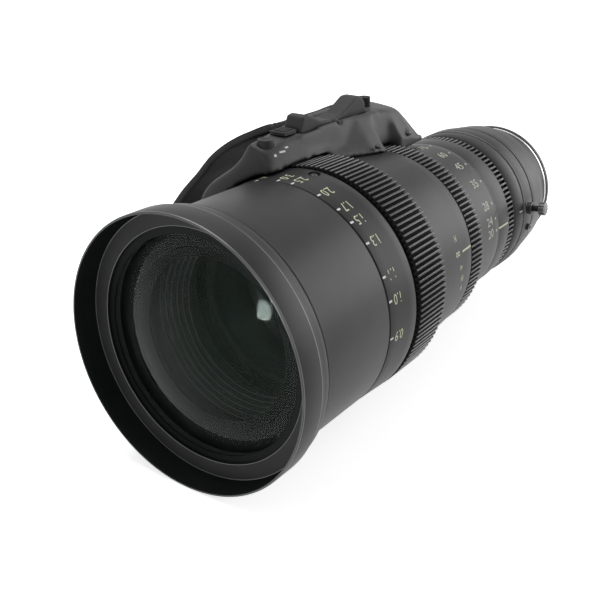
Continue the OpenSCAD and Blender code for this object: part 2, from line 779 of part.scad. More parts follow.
boss_r = 3.2;
boss_h = 3;
lock_angle = 7;
lock_stem_r = 1.6;
lock_head_r = 5;
lock_head_t = 3;
lock_stem_len = 4;
lock_inset = 4;
lock_y = y_back + lock_inset;
lock_grips = 12;
lock_grip_r = 0.9;
lock_grip_out = 0.3;

module back_focus_ring() {
  color([0.12, 0.12, 0.13]) difference() {
    union() {
      lathe([[back_bore, y_back], [back_ring_r - rim_round, y_back],
        [back_ring_r, y_back + rim_round], [back_ring_r, y_neck - ring_gap - rim_round],
        [back_ring_r - rim_round, y_neck - ring_gap], [back_bore, y_neck - ring_gap]]);
      radial_pin(boss_r, back_bore + overrun, back_ring_r + boss_h, lock_y, lock_angle);
    }
    radial_pin(lock_stem_r + run_gap, back_bore - overrun, back_ring_r + boss_h + overrun, lock_y,
      lock_angle);
  }
}

module back_focus_lock() {
  stem_end = back_ring_r + boss_h + lock_stem_len;
  color([0.1, 0.1, 0.11]) difference() {
    union() {
      radial_pin(lock_stem_r, back_bore + seat_gap, stem_end + lock_head_t / 2, lock_y, lock_angle);
      radial_pin(lock_head_r, stem_end, stem_end + lock_head_t, lock_y, lock_angle);
    }
    for (k = [0:lock_grips - 1]) at_angle(lock_angle)
      translate([stem_end - overrun, lock_y, 0]) rotate([k * 360 / lock_grips, 0, 0])
        translate([0, lock_head_r + lock_grip_out, 0]) rotate([0, 90, 0])
          cylinder(r = lock_grip_r, h = lock_head_t + 2 * overrun, $fn = small_sides);
  }
}

rear_cell_lead = 14;
rear_cell_y = y_back + rear_cell_lead;
rear_cell_len = 16;
rear_glass_step = 10;
rear_glass_r = rear_bore - rear_glass_step;

module rear_cell() {
  y0 = rear_cell_y;
  color([0.2, 0.2, 0.21])
    lathe([[rear_glass_r + run_gap, y0], [rear_bore - run_gap, y0],
      [rear_bore - run_gap, y0 + rear_cell_len], [rear_glass_r * zoom_face_share, y0 + rear_cell_len],
      [rear_glass_r * zoom_face_share, y0 + relay_t + seat_gap],
      [rear_glass_r + run_gap, y0 + relay_t + seat_gap]]);
}

module rear_group_lens() {
  face_r = rear_glass_r * zoom_face_share;
  lens(rear_glass_r, rear_cell_y, rear_cell_y + relay_t, face_r, zoom_curve, face_r, -zoom_curve);
}

notch_count = 4;
notch_first_angle = 45;
notch_half_w = 6;
notch_depth = 3.2;
tube_wall = 2.5;

module mount_flange() {
  color([0.75, 0.75, 0.77]) difference() {
    lathe([[spigot_r + seat_gap, y_flange], [flange_r - rim_round, y_flange],
      [flange_r, y_flange + rim_round], [flange_r, -rim_round], [flange_r - rim_round, 0],
      [rear_tube_r + seat_relief, 0], [rear_tube_r + seat_relief, -seat_relief_depth],
      [spigot_r + seat_gap, -seat_relief_depth]]);
    for (k = [0:notch_count - 1]) at_angle(notch_first_angle + k * 360 / notch_count)
      translate([flange_r - notch_depth, y_flange - overrun, -notch_half_w])
        cube([notch_depth + overrun, flange_t + 2 * overrun, 2 * notch_half_w]);
  }
}

module rear_tube() {
  y0 = y_flange - rear_wall_len;
  inner = rear_tube_r - tube_wall;
  color([0.1, 0.1, 0.11])
    lathe([[inner, y0], [spigot_r, y0], [spigot_r, 0], [rear_tube_r, 0],
      [rear_tube_r, rear_tube_len - rim_round],
      [rear_tube_r - rim_round, rear_tube_len], [rear_lens_r - rear_lens_lip, rear_tube_len],
      [rear_lens_r - rear_lens_lip, rear_lens_y + relay_t + seat_gap],
      [rear_lens_r + run_gap, rear_lens_y + relay_t + seat_gap],
      [rear_lens_r + run_gap, rear_lens_y], [inner, rear_lens_y]]);
}

rear_lens_wall = 1;
rear_lens_lip = 1.5;
rear_lens_setback = 9;
rear_lens_r = rear_tube_r - tube_wall - rear_lens_wall;
rear_lens_y = rear_tube_len - rear_lens_setback;

module rear_element() {
  lens(rear_lens_r, rear_lens_y, rear_lens_y + relay_t, rear_lens_r - glass_rim, zoom_curve,
    rear_lens_r - glass_rim, -zoom_curve * 2);
}

// Small countersunk screws, each with a cross slot, sunk level with the barrel
screw_r = 1.5;
screw_depth = 1.2;
screw_dome = 0.2;
cross_deep = 0.3;
cross_half_w = 0.2;
cross_share = 0.6;

module screw_head(r, y, angle) {
  at_angle(angle) translate([r - screw_depth, y, 0]) rotate([0, 90, 0]) difference() {
    cylinder(r = screw_r, h = screw_depth + screw_dome, $fn = small_sides);
    for (a = [0, 90]) rotate([0, 0, a])
      translate([-screw_r * cross_share, -cross_half_w, screw_depth - cross_deep])
        cube([2 * screw_r * cross_share, 2 * cross_half_w, overrun]);
  }
}

scale_screw_seat = focus_rear_r - scale_hole_depth + screw_depth;

module focus_ring_screw() {
  color([0.5, 0.5, 0.52]) screw_head(scale_screw_seat, scale_hole_y, scale_hole_angle);
}

// Drive grip: a housing that hugs the lens from the top round the palm side.
// Its sections lie across the axis. Each runs from the lens up a near wall to
// the panel's ridge, over the panel, down the palm side and back to the lens.
grip_lead = 6.7;
grip_tail = 4;
grip_y0 = y_focus + grip_lead;
grip_y1 = y_zoom_end - grip_tail;
grip_squareness = 2.2;
grip_low = mid_front_r;
grip_root_step = 2;
grip_root_r = zoom_bore - grip_root_step;
foot_low_angle = 224;
foot_wall_angle = 2;

// Rows from front to rear: share of the length, angle of the near foot, then
// shares of the panel height for the ridge, the panel's near edge and its far
// edge, each across and up, and how far the palm side has grown
grip_row_shares = [
  [0.00, 101, -0.200, 0.880, -0.230, 0.935, -0.350, 0.975, 0.00],
  [0.10, 100, -0.180, 0.895, -0.205, 0.970, -0.365, 0.985, 0.08],
  [0.22, 99, -0.165, 0.890, -0.185, 0.980, -0.390, 0.990, 0.40],
  [0.34, 97, -0.160, 0.860, -0.182, 0.985, -0.445, 0.995, 0.88],
  [0.44, 94, -0.125, 0.822, -0.182, 0.990, -0.465, 1.000, 1.00],
  [0.56, 90, -0.020, 0.772, -0.170, 0.985, -0.470, 1.000, 1.00],
  [0.64, 88, 0.012, 0.740, -0.155, 0.980, -0.470, 1.000, 1.00],
  [0.66, 97, -0.095, 0.775, -0.150, 0.980, -0.470, 1.000, 1.00],
  [0.77, 97, -0.095, 0.790, -0.140, 0.975, -0.470, 1.000, 1.00],
  [0.79, 91, -0.015, 0.775, -0.140, 0.965, -0.470, 0.990, 1.00],
  [0.90, 91, 0.000, 0.735, -0.170, 0.940, -0.460, 0.970, 0.92],
  [1.00, 92, -0.035, 0.690, -0.250, 0.885, -0.430, 0.915, 0.72]];
// Palm side: angles round the axis, and the front end's radius there as a
// share of the panel height
palm_angles = [118, 124, 130, 137, 145, 153, 162, 172, 183, 194, 204, 214];
palm_front_shares = [0.945, 0.925, 0.930, 0.948, 0.955, 0.942, 0.935, 0.930, 0.928, 0.925, 0.915, 0.895];
near_fillet_share = 0.35;

function palm_r(a, grow, side, low) = let (
  b = sin(a) > 0 ? grip_top : low,
  x = abs(cos(a)) / side,
  z = abs(sin(a)) / b)
  pow(pow(x, grip_squareness) + pow(z, grip_squareness), -1 / grip_squareness);

function polar(r, a) = [r * cos(a), r * sin(a)];
function mix(a, b, t) = a + (b - a) * t;

// The clearance round the lens, grown by w, as [radius, y] points
grip_seat_gap = 0.1;
inner_wall = 1.6;
ring_clear = 0.8;
function lens_clearance(w) = [
  [front_barrel_r + ring_clear, y_barrel_end - ring_gap],
  [focus_tip_r + ring_clear, y_focus_gear - 2 * ring_gap],
  [focus_tip_r + ring_clear, y_mid + w / 2 - ring_gap / 2],
  [mid_front_r + grip_seat_gap, y_mid + w / 2 - ring_gap / 2],
  [mid_rear_r + grip_seat_gap, y_mid_end - w],
  [zoom_tip_r + ring_clear, y_mid_end - w],
  [zoom_tip_r + ring_clear, y_zoom_band + w + ring_gap],
  [zoom_front_r + ring_clear, y_zoom_band + w + ring_gap],
  [zoom_front_r + ring_clear, y_zoom_end + ring_gap / 2]];

// One section, moved inwards by w
function grip_section(row, w) = let (
  h = grip_top,
  cut = w / h,
  grow = row[8],
  foot = polar(grip_root_r, row[1] + (w > 0 ? foot_wall_angle : 0)),
  ridge = [(row[2] - cut) * h, (row[3] - cut) * h],
  near = [(row[4] - cut) * h, (row[5] - cut) * h],
  far = [(row[6] + cut) * h, (row[7] - cut) * h],
  knee = polar(mix(mid_front_r, norm(ridge), near_fillet_share), row[1] + (w > 0 ? foot_wall_angle : 0)))
  concat([foot, knee, ridge, near, far],
    [for (i = [0:len(palm_angles) - 1]) let (
       a = palm_angles[i],
       r = mix(palm_front_shares[i] * grip_top, palm_r(a, grow, grip_side, grip_low), grow))
     polar(r - w, a)],
    [polar(grip_root_r, foot_low_angle - (w > 0 ? foot_wall_angle : 0))]);

// Solid loft of the sections, set back by w from every side
module grip_loft(w) {
  rows = [for (row = grip_row_shares)
    [mix(grip_y0 + w, grip_y1 - w, row[0]), grip_section(row, w)]];
  m = len(rows[0][1]);
  n = len(rows);
  at = [for (r = rows) each [for (p = r[1]) [p[0], r[0], p[1]]]];
  skin = [for (i = [0:n - 2]) for (k = [0:m - 1])
    let (a = i * m + k, b = i * m + (k + 1) % m) each [[a, b, b + m], [a, b + m, a + m]]];
  front = [for (k = [1:m - 2]) [0, k + 1, k]];
  rear = [for (k = [1:m - 2]) [(n - 1) * m, (n - 1) * m + k, (n - 1) * m + k + 1]];
  polyhedron(points = at, faces = concat(skin, front, rear), convexity = 6);
}

module lens_space(w) {
  stack = lens_clearance(w);
  lathe(concat([[0, y_barrel]], [[stack[0][0] + w, y_barrel]],
    [for (p = stack) [p[0] + w, p[1]]],
    [[zoom_front_r + ring_clear + w, y_iris_end], [0, y_iris_end]]));
}

// Pinions that mesh with the three gears, and the motors behind them
focus_pinion_teeth = 18;
zoom_pinion_teeth = 24;
iris_pinion_teeth = 36;
mesh_gap = 0.12;
focus_pinion_angle = 160;
zoom_pinion_angle = 172;
iris_pinion_angle_at = 195;
focus_axis_r = pitch_r(focus_teeth) + pitch_r(focus_pinion_teeth) + mesh_gap;
zoom_axis_r = pitch_r(zoom_teeth) + pitch_r(zoom_pinion_teeth) + mesh_gap;
iris_axis_r = pitch_r(iris_teeth) + pitch_r(iris_pinion_teeth) + mesh_gap;
// The rings are turned so that a gap faces each pinion, whose tooth faces the lens
function mesh_turn(teeth, angle) = angle - 360 / teeth * (floor(angle * teeth / 360) + 0.5);
focus_mesh = mesh_turn(focus_teeth, focus_pinion_angle);
zoom_mesh = mesh_turn(zoom_teeth, zoom_pinion_angle);
iris_mesh = mesh_turn(iris_teeth, iris_pinion_angle_at);
shaft_r = 2;
pinion_len = 8;
pinion_inset = 2;
focus_pinion_y = y_focus_end - pinion_inset - pinion_len;
zoom_pinion_y = y_zoom + pinion_inset;
iris_pinion_len = 6;
iris_pinion_y = y_iris + (iris_gear_len - iris_pinion_len) / 2;
bulkhead_t = 2;
focus_bulkhead_y = y_focus_end - ring_gap;
zoom_bulkhead_y = y_zoom_band + ring_gap + inner_wall - bulkhead_t;
focus_motor_r = 8.2;
focus_motor_len = 32;
zoom_motor_r = 8;
zoom_motor_len = 20;
iris_motor_r = 6.5;
iris_motor_len = 20;
shaft_seat = 3;
motor_cap = 3;
motor_step = 1;

// A child drawn about the Y axis is moved out to an axis beside the lens
module beside(r, angle) {
  translate([r * cos(angle), 0, r * sin(angle)]) children();
}

module pinion(teeth, y0, len, shaft_from, shaft_to, r, angle) {
  tip = half_module * (teeth + 2);
  outline = [for (q = gear_outline(teeth, tip))
    [q[0] * cos(q[1] + angle + 180), q[0] * sin(q[1] + angle + 180)]];
  beside(r, angle) union() {
    plate(y0, y0 + len) polygon(outline);
    translate([0, shaft_from, 0]) rotate([-90, 0, 0])
      cylinder(r = shaft_r, h = shaft_to - shaft_from, $fn = small_sides);
  }
}

module motor(y0, len, r, shaft_from, shaft_to, axis_r, angle) {
  beside(axis_r, angle) difference() {
    translate([0, y0, 0]) rotate([-90, 0, 0]) union() {
      cylinder(r = r, h = len - motor_cap, $fn = smooth_sides);
      cylinder(r = r - motor_step, h = len, $fn = smooth_sides);
    }
    translate([0, shaft_from, 0]) rotate([-90, 0, 0])
      cylinder(r = shaft_r + run_gap, h = shaft_to - shaft_from, $fn = small_sides);
  }
}

focus_motor_y = focus_bulkhead_y + bulkhead_t;
zoom_motor_y = zoom_bulkhead_y + bulkhead_t;
iris_motor_y = grip_y1 - grip_wall - iris_motor_len;

module focus_pinion() {
  color([0.8, 0.7, 0.4]) pinion(focus_pinion_teeth, focus_pinion_y, pinion_len,
    focus_pinion_y - pinion_inset, focus_motor_y + shaft_seat, focus_axis_r, focus_pinion_angle);
}

module zoom_pinion() {
  color([0.8, 0.7, 0.4]) pinion(zoom_pinion_teeth, zoom_pinion_y, pinion_len,
    zoom_pinion_y - pinion_inset, zoom_motor_y + shaft_seat, zoom_axis_r, zoom_pinion_angle);
}

module iris_pinion() {
  color([0.8, 0.7, 0.4]) pinion(iris_pinion_teeth, iris_pinion_y, iris_pinion_len,
    grip_y1 - grip_wall - shaft_seat, iris_pinion_y + iris_pinion_len + pinion_inset,
    iris_axis_r, iris_pinion_angle_at);
}

module focus_motor() {
  color([0.6, 0.6, 0.62]) motor(focus_motor_y, focus_motor_len, focus_motor_r,
    focus_motor_y - overrun, focus_motor_y + shaft_seat + ring_gap, focus_axis_r,
    focus_pinion_angle);
}

module zoom_motor() {
  color([0.6, 0.6, 0.62]) motor(zoom_motor_y, zoom_motor_len, zoom_motor_r,
    zoom_motor_y - overrun, zoom_motor_y + shaft_seat + ring_gap, zoom_axis_r,
    zoom_pinion_angle);
}

module iris_motor() {
  color([0.6, 0.6, 0.62]) beside(iris_axis_r, iris_pinion_angle_at) difference() {
    translate([0, iris_motor_y, 0]) rotate([-90, 0, 0]) union() {
      cylinder(r = iris_motor_r - motor_step, h = iris_motor_len, $fn = smooth_sides);
      translate([0, 0, motor_cap])
        cylinder(r = iris_motor_r, h = iris_motor_len - motor_cap, $fn = smooth_sides);
    }
    translate([0, grip_y1 - grip_wall - shaft_seat - ring_gap, 0]) rotate([-90, 0, 0])
      cylinder(r = shaft_r + run_gap, h = shaft_seat + ring_gap + overrun, $fn = small_sides);
  }
}

// Places on the control panel
rocker_w = 9.5;
rocker_len = 54;
rocker_x = -19;
rocker_lead = 53.5;
rocker_y = grip_y0 + rocker_lead;
rocker_drop = 2;
rocker_hump = 5.2;
rocker_pin_r = 1.5;
rocker_play = 0.7;
rocker_bottom = 2.6;
pocket_depth = rocker_drop + rocker_bottom + rocker_play + rocker_len / 2 * sin(rocker_tip);
panel_z = grip_top;
rocker_pivot_z = panel_z - rocker_drop;
button_x = -18.5;
button_lead = 6.5;
button_y = grip_y0 + button_lead;
button_r = 3.6;
button_drop = 1;
button_travel = 1.2;
button_stem_r = 2;
button_hole_gap = 0.08;
button_seat_drop = 4;
button_seat_z = panel_z - button_seat_drop;
switch_lead = 20.5;
switch_y = grip_y0 + switch_lead;
switch_x = -19.5;
switch_w = 8;
switch_len = 9;
switch_bed = 1.6;
switch_h = 2.2;
switch_hole = 5.6;
switch_tongue = 4.4;
switch_travel = 3;
switch_slot_w = 3;
dial_x = -20.5;
dial_lead = 89;
dial_y = grip_y0 + dial_lead;
dial_r = 3;
dial_h = 3;
dial_stem_r = 1.5;
dial_hole = 5;
dial_gap = 0.2;

module pocket(grow) {
  translate([rocker_x - rocker_w / 2 - rocker_play - grow,
      rocker_y - rocker_len / 2 - rocker_play - grow, panel_z - pocket_depth - grow])
    cube([rocker_w + 2 * rocker_play + 2 * grow, rocker_len + 2 * rocker_play + 2 * grow,
      pocket_depth + overrun + 2 * grow]);
}

module across(r, x0, x1, y, z) {
  translate([x0, y, z]) rotate([0, 90, 0]) cylinder(r = r, h = x1 - x0, $fn = small_sides);
}

module upright(r, z0, z1, x, y) {
  translate([x, y, z0]) cylinder(r = r, h = z1 - z0, $fn = small_sides);
}

rocker_lug = 2;

module shaft_hole(axis_r, angle, y0, y1) {
  beside(axis_r, angle) translate([0, y0, 0]) rotate([-90, 0, 0])
    cylinder(r = shaft_r + run_gap, h = y1 - y0, $fn = small_sides);
}

module pinion_space(teeth, axis_r, angle, y0, y1) {
  beside(axis_r, angle) translate([0, y0 - ring_gap, 0]) rotate([-90, 0, 0])
    cylinder(r = half_module * (teeth + 2) + ring_gap, h = y1 - y0 + 2 * ring_gap,
      $fn = small_sides);
}

control_boss_r = 4;
control_boss_h = 4;

module grip_body() {
  difference() {
    grip_loft(0);
    lens_space(0);
    difference() {
      grip_loft(grip_wall);
      lens_space(inner_wall);
      pocket(grip_wall);
      for (y = [focus_bulkhead_y, zoom_bulkhead_y])
        translate([-2 * grip_side, y, -2 * grip_side])
          cube([4 * grip_side, bulkhead_t, 4 * grip_side]);
      for (p = [[button_x, button_y], [switch_x, switch_y], [dial_x, dial_y]])
        upright(control_boss_r + grip_wall, panel_z - grip_wall - control_boss_h, panel_z,
          p[0], p[1]);
    }
    pocket(0);
    across(rocker_pin_r + run_gap, rocker_x - rocker_w / 2 - rocker_play - rocker_lug,
      rocker_x + rocker_w / 2 + rocker_play + rocker_lug, rocker_y, rocker_pivot_z);
    pinion_space(focus_pinion_teeth, focus_axis_r, focus_pinion_angle, focus_pinion_y,
      focus_pinion_y + pinion_len);
    pinion_space(zoom_pinion_teeth, zoom_axis_r, zoom_pinion_angle, zoom_pinion_y,
      zoom_pinion_y + pinion_len);
    shaft_hole(focus_axis_r, focus_pinion_angle, focus_pinion_y - pinion_inset - ring_gap,
      focus_motor_y + overrun);
    shaft_hole(zoom_axis_r, zoom_pinion_angle, zoom_pinion_y - pinion_inset - ring_gap,
      zoom_motor_y + overrun);
    shaft_hole(iris_axis_r, iris_pinion_angle_at, grip_y1 - grip_wall - overrun,
      grip_y1 + overrun);
    upright(button_r + button_hole_gap, button_seat_z, panel_z + overrun, button_x, button_y);
    upright(button_stem_r + button_hole_gap, button_seat_z - control_boss_h,
      button_seat_z + overrun, button_x, button_y);
    translate([switch_x - switch_w / 2 - button_hole_gap,
        switch_y - switch_len / 2 - switch_travel / 2 - ring_gap, panel_z - switch_bed])
      cube([switch_w + 2 * button_hole_gap, switch_len + switch_travel + 2 * ring_gap,
        switch_bed + overrun]);
    translate([switch_x - switch_slot_w / 2 - button_hole_gap,
        switch_y - switch_slot_w / 2 - switch_travel / 2 - ring_gap, panel_z - switch_hole])
      cube([switch_slot_w + 2 * button_hole_gap, switch_slot_w + switch_travel + 2 * ring_gap,
        switch_hole]);
    upright(dial_stem_r + run_gap, panel_z - dial_hole, panel_z + overrun, dial_x, dial_y);
    for (p = grip_screw_places) screw_well(p);
  }
}

// The palm side of the housing is a separate cover that meets it on a plane
cover_x = -64;
cover_gap = 0.1;

module palm_half(x0, x1) {
  translate([x0, y_front, -2 * grip_side]) cube([x1 - x0, -2 * y_front, 4 * grip_side]);
}

module grip_shell() {
  color([0.15, 0.15, 0.16]) intersection() {
    grip_body();
    palm_half(cover_x, grip_side);
  }
}

module palm_cover() {
  color([0.14, 0.14, 0.15]) intersection() {
    grip_body();
    palm_half(-2 * grip_side, cover_x - cover_gap);
  }
}

// Screws that hold the housing on the lens: angle, radius of the screw's foot
// and station. Two hold its feet beside the zoom gear, and one its front tip
foot_screw_angles = [89, 92, 147];
foot_screw_rises = [1.2, 3, 7];
mid_foot_share = 0.722;
zoom_foot_share = 0.333;
tip_screw_inset = 3;
grip_screw_places = [
  [foot_screw_angles[0], mid_front_r + foot_screw_rises[0], y_mid + mid_len * mid_foot_share],
  [foot_screw_angles[1], zoom_tip_r + foot_screw_rises[1],
   y_zoom_band + zoom_scale_len * zoom_foot_share],
  [foot_screw_angles[2], front_barrel_r + foot_screw_rises[2], grip_y0 + tip_screw_inset]];
screw_well_r = 2.2;

module screw_well(p) {
  at_angle(p[0]) translate([p[1], p[2], 0]) rotate([0, 90, 0])
    cylinder(r = screw_well_r, h = 4 * screw_well_r, $fn = small_sides);
}

module grip_screws() {
  color([0.5, 0.5, 0.52]) for (p = grip_screw_places)
    screw_head(p[1] + screw_depth, p[2], p[0]);
}

// Cover over the iris pinion, behind the housing
gear_cover_r = 19;
gear_cover_inset = 9;
gear_cover_turn = 4;
gear_cover_end = 3.5;
gear_cover_sides = 48;

module gear_cover() {
  y0 = grip_y1 + seat_gap;
  y1 = y_iris_band + gear_cover_end;
  color([0.15, 0.15, 0.16]) difference() {
    hull() for (p = [[0, 0], [gear_cover_inset, gear_cover_turn], [gear_cover_inset, -gear_cover_turn]])
      beside(iris_axis_r - p[0], iris_pinion_angle_at + p[1]) translate([0, y0, 0])
        rotate([-90, 0, 0]) cylinder(r = gear_cover_r, h = y1 - y0, $fn = gear_cover_sides);
    ring(zoom_front_r + ring_clear, 0, y0 - overrun, y_index);
    ring(index_r + grip_seat_gap, 0, y_index - ring_gap, y1 + overrun);
    ring(iris_tip_r + ring_clear, 0, y_iris - ring_gap, y1 + overrun);
    pinion_space(iris_pinion_teeth, iris_axis_r, iris_pinion_angle_at, iris_pinion_y,
      iris_pinion_y + iris_pinion_len);
    shaft_hole(iris_axis_r, iris_pinion_angle_at, y0 - overrun,
      iris_pinion_y + iris_pinion_len + pinion_inset + ring_gap);
  }
}

// Small parts inside and on the housing
board_w = 14;
board_len = 34;
board_t = 1.6;
board_x = -46;
board_y = focus_bulkhead_y + bulkhead_t + ring_gap;
board_drop = 15;

module circuit_board() {
  color([0.1, 0.35, 0.2]) translate([board_x, board_y, panel_z - board_drop - board_t])
    cube([board_w, board_len, board_t]);
}

socket_r = 6.5;
socket_out = 5;
socket_bore = 5;
socket_depth = 4;

module connector_socket() {
  y0 = y_iris_band + gear_cover_end;
  color([0.55, 0.55, 0.57]) beside(iris_axis_r, iris_pinion_angle_at) difference() {
    translate([0, y0, 0]) rotate([-90, 0, 0])
      cylinder(r = socket_r, h = socket_out, $fn = smooth_sides);
    translate([0, y0 + socket_out - socket_depth, 0]) rotate([-90, 0, 0])
      cylinder(r = socket_bore, h = socket_depth + overrun, $fn = smooth_sides);
  }
}

// Hand strap: a band round the palm side, along points in shares of the grip's
// half width and height
strap_lead = 32;
strap_front_y = grip_y0 + strap_lead;
strap_path_shares = [[-0.455, 0.945], [-0.55, 0.90], [-0.74, 0.79], [-0.90, 0.655], [-1.03, 0.49],
  [-1.20, 0.28], [-1.34, 0.02], [-1.33, -0.27], [-1.19, -0.53], [-0.96, -0.69], [-0.74, -0.76],
  [-0.56, -0.73]];
strap_steps = 4;

function spline(p, i, t) = let (
  a = p[max(i - 1, 0)], b = p[i], c = p[i + 1], d = p[min(i + 2, len(p) - 1)])
  0.5 * (2 * b + (c - a) * t + (2 * a - 5 * b + 4 * c - d) * t * t
    + (3 * b - a - 3 * c + d) * t * t * t);

module hand_strap() {
  p = [for (q = strap_path_shares) [q[0] * grip_side, q[1] * grip_top]];
  path = concat([for (i = [0:len(p) - 2]) for (k = [0:strap_steps - 1])
    spline(p, i, k / strap_steps)], [p[len(p) - 1]]);
  normals = [for (i = [0:len(path) - 1]) let (
    d = path[min(i + 1, len(path) - 1)] - path[max(i - 1, 0)], n = d / norm(d)) [-n[1], n[0]]];
  outer = [for (i = [0:len(path) - 1]) path[i] + normals[i] * strap_t / 2];
  inner = [for (i = [0:len(path) - 1]) path[i] - normals[i] * strap_t / 2];
  color([0.1, 0.1, 0.1]) plate(strap_front_y, strap_front_y + strap_w)
    polygon(concat(outer, backwards(inner)));
}

// Zoom rocker, a long seesaw on a cross pin
rocker_outline_shares = [[-0.5, 0.0], [-0.5, 0.45], [-0.46, 0.95], [-0.40, 1.0], [-0.32, 0.85],
  [-0.2, 0.55], [-0.05, 0.42], [0.1, 0.52], [0.24, 0.85], [0.34, 1.12], [0.42, 1.12],
  [0.48, 0.8], [0.5, 0.4], [0.5, 0.0]];

module zoom_rocker() {
  top_z = rocker_pivot_z - rocker_bottom;
  h = rocker_hump + rocker_drop + rocker_bottom;
  color([0.12, 0.12, 0.13]) union() {
    translate([rocker_x - rocker_w / 2, rocker_y, top_z]) rotate([90, 0, 90])
      linear_extrude(height = rocker_w)
        polygon([for (q = rocker_outline_shares) [q[0] * rocker_len, q[1] * h]]);
    across(rocker_pin_r, rocker_x - rocker_w / 2 - rocker_play - rocker_lug + run_gap,
      rocker_x + rocker_w / 2 + rocker_play + rocker_lug - run_gap, rocker_y, rocker_pivot_z);
  }
}

module record_button() {
  color([0.1, 0.1, 0.11]) union() {
    upright(button_r, button_seat_z + button_travel + ring_gap, panel_z - button_drop, button_x,
      button_y);
    upright(button_stem_r, button_seat_z - overrun, button_seat_z + button_travel + overrun,
      button_x, button_y);
  }
}

module mode_switch() {
  color([0.1, 0.1, 0.11]) union() {
    translate([switch_x - switch_w / 2, switch_y - switch_len / 2,
        panel_z - switch_bed + seat_gap]) cube([switch_w, switch_len, switch_h]);
    translate([switch_x - switch_slot_w / 2, switch_y - switch_slot_w / 2,
        panel_z - switch_bed - switch_tongue + overrun])
      cube([switch_slot_w, switch_slot_w, switch_tongue]);
  }
}

module speed_dial() {
  color([0.1, 0.1, 0.11]) union() {
    upright(dial_r, panel_z + dial_gap, panel_z + dial_gap + dial_h, dial_x, dial_y);
    upright(dial_stem_r, panel_z - dial_hole + ring_gap, panel_z + overrun, dial_x, dial_y);
  }
}

front_ring();
front_retaining_ring();
front_cell();
front_element();
second_element();
front_barrel();
mid_body();
guide_tube();
index_ring();
relay_cell();
relay_element();
iris_base();
rear_body();
mount_flange();
rear_tube();
rear_element();
focus_ring_screw();
focus_ring();
focus_gear();
focus_cell();
focus_element();
zoom_gear();
zoom_ring();
cam_tube();
variator_cell();
variator_element();
compensator_cell();
compensator_element();
iris_ring();
iris_drive_ring();
iris_blade(0);  // iris_blade_1
iris_blade(1);  // iris_blade_2
iris_blade(2);  // iris_blade_3
iris_blade(3);  // iris_blade_4
iris_blade(4);  // iris_blade_5
iris_blade(5);  // iris_blade_6
iris_blade(6);  // iris_blade_7
iris_blade(7);  // iris_blade_8
iris_blade(8);  // iris_blade_9
back_focus_ring();
back_focus_lock();
rear_cell();
rear_group_lens();
grip_shell();
palm_cover();
grip_screws();
gear_cover();
focus_motor();
zoom_motor();
iris_motor();
focus_pinion();
zoom_pinion();
iris_pinion();
circuit_board();
connector_socket();
hand_strap();
zoom_rocker();
record_button();
mode_switch();
speed_dial();
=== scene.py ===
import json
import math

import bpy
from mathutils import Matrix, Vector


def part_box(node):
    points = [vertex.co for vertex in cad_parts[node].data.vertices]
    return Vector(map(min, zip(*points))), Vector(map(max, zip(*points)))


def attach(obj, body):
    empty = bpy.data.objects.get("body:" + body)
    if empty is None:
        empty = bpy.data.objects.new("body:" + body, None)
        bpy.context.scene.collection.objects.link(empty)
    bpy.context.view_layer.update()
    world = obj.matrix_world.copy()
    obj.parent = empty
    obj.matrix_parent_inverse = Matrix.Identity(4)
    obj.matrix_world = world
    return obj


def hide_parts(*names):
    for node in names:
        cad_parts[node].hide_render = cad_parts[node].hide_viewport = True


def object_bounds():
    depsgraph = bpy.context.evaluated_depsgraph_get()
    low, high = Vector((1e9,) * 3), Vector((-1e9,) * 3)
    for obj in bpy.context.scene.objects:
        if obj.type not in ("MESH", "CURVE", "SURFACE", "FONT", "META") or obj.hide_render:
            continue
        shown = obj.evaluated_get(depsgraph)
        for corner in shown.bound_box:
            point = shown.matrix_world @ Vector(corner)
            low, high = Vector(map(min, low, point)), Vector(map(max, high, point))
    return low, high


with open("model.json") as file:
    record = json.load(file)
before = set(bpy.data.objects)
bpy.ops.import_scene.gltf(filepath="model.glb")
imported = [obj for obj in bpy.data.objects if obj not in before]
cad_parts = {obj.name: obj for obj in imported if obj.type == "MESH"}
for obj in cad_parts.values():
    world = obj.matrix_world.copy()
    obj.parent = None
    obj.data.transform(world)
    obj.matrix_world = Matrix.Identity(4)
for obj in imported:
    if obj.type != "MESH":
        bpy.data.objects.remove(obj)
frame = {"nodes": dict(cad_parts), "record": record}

# %% [markdown]
# # A cinema zoom lens, dressed in Blender
#
# The solid parts of the lens come ready made: barrels, geared rings, glass,
# iris and motor grip. This lesson gives them what a solid model lacks. There
# is black anodising with its bead-blasted grain, turned steel, coated glass,
# moulded plastic, a hand strap with its stitching, and the painted scales that
# an operator reads.
#
# Blender works in metres. Numbers that a maker reads off a drawing are given in
# millimetres and are multiplied by MM where they are used. The optical axis is
# the Y axis, the front of the lens looks towards -Y, Z is up, and Y is 0 at the
# face that meets the camera. Places along the lens are counted from the front
# rim to the rear, and angles round it go from +X towards +Z.

MM = 0.001
BOX_AT_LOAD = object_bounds()
FRONT_RIM = -280 * MM
RAY_FROM = 0.2


def away(angle):
    """The direction away from the axis at an angle in radians."""
    return Vector((math.cos(angle), 0, math.sin(angle)))


def corners_of(node):
    """Lowest and highest corner of a solid, in metres."""
    return [Vector(corner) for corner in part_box(node)]


def surface_at(piece, y, angle):
    """(place, normal) of a piece's outside at one y and angle, or None."""
    start = away(angle) * RAY_FROM + Vector((0, y, 0))
    hit, place, normal, _ = piece.ray_cast(start, -away(angle))
    return (place, normal) if hit else None


# %% [markdown]
# ## The camera
#
# The photograph looks at the lens from in front, from above and from its index
# side. The camera stands a third of a metre from the front rim, so the near
# ring looks much larger than the far mount. The place and the turn below came
# from matching the front rim and the ring edges with the photograph.

# %% Camera
CAMERA_PLACE = (0.20805, -0.49689, 0.15593)
CAMERA_TURN = (66.15, 0, 35.16)
CAMERA_LENS = 54
CAMERA_SENSOR = 36

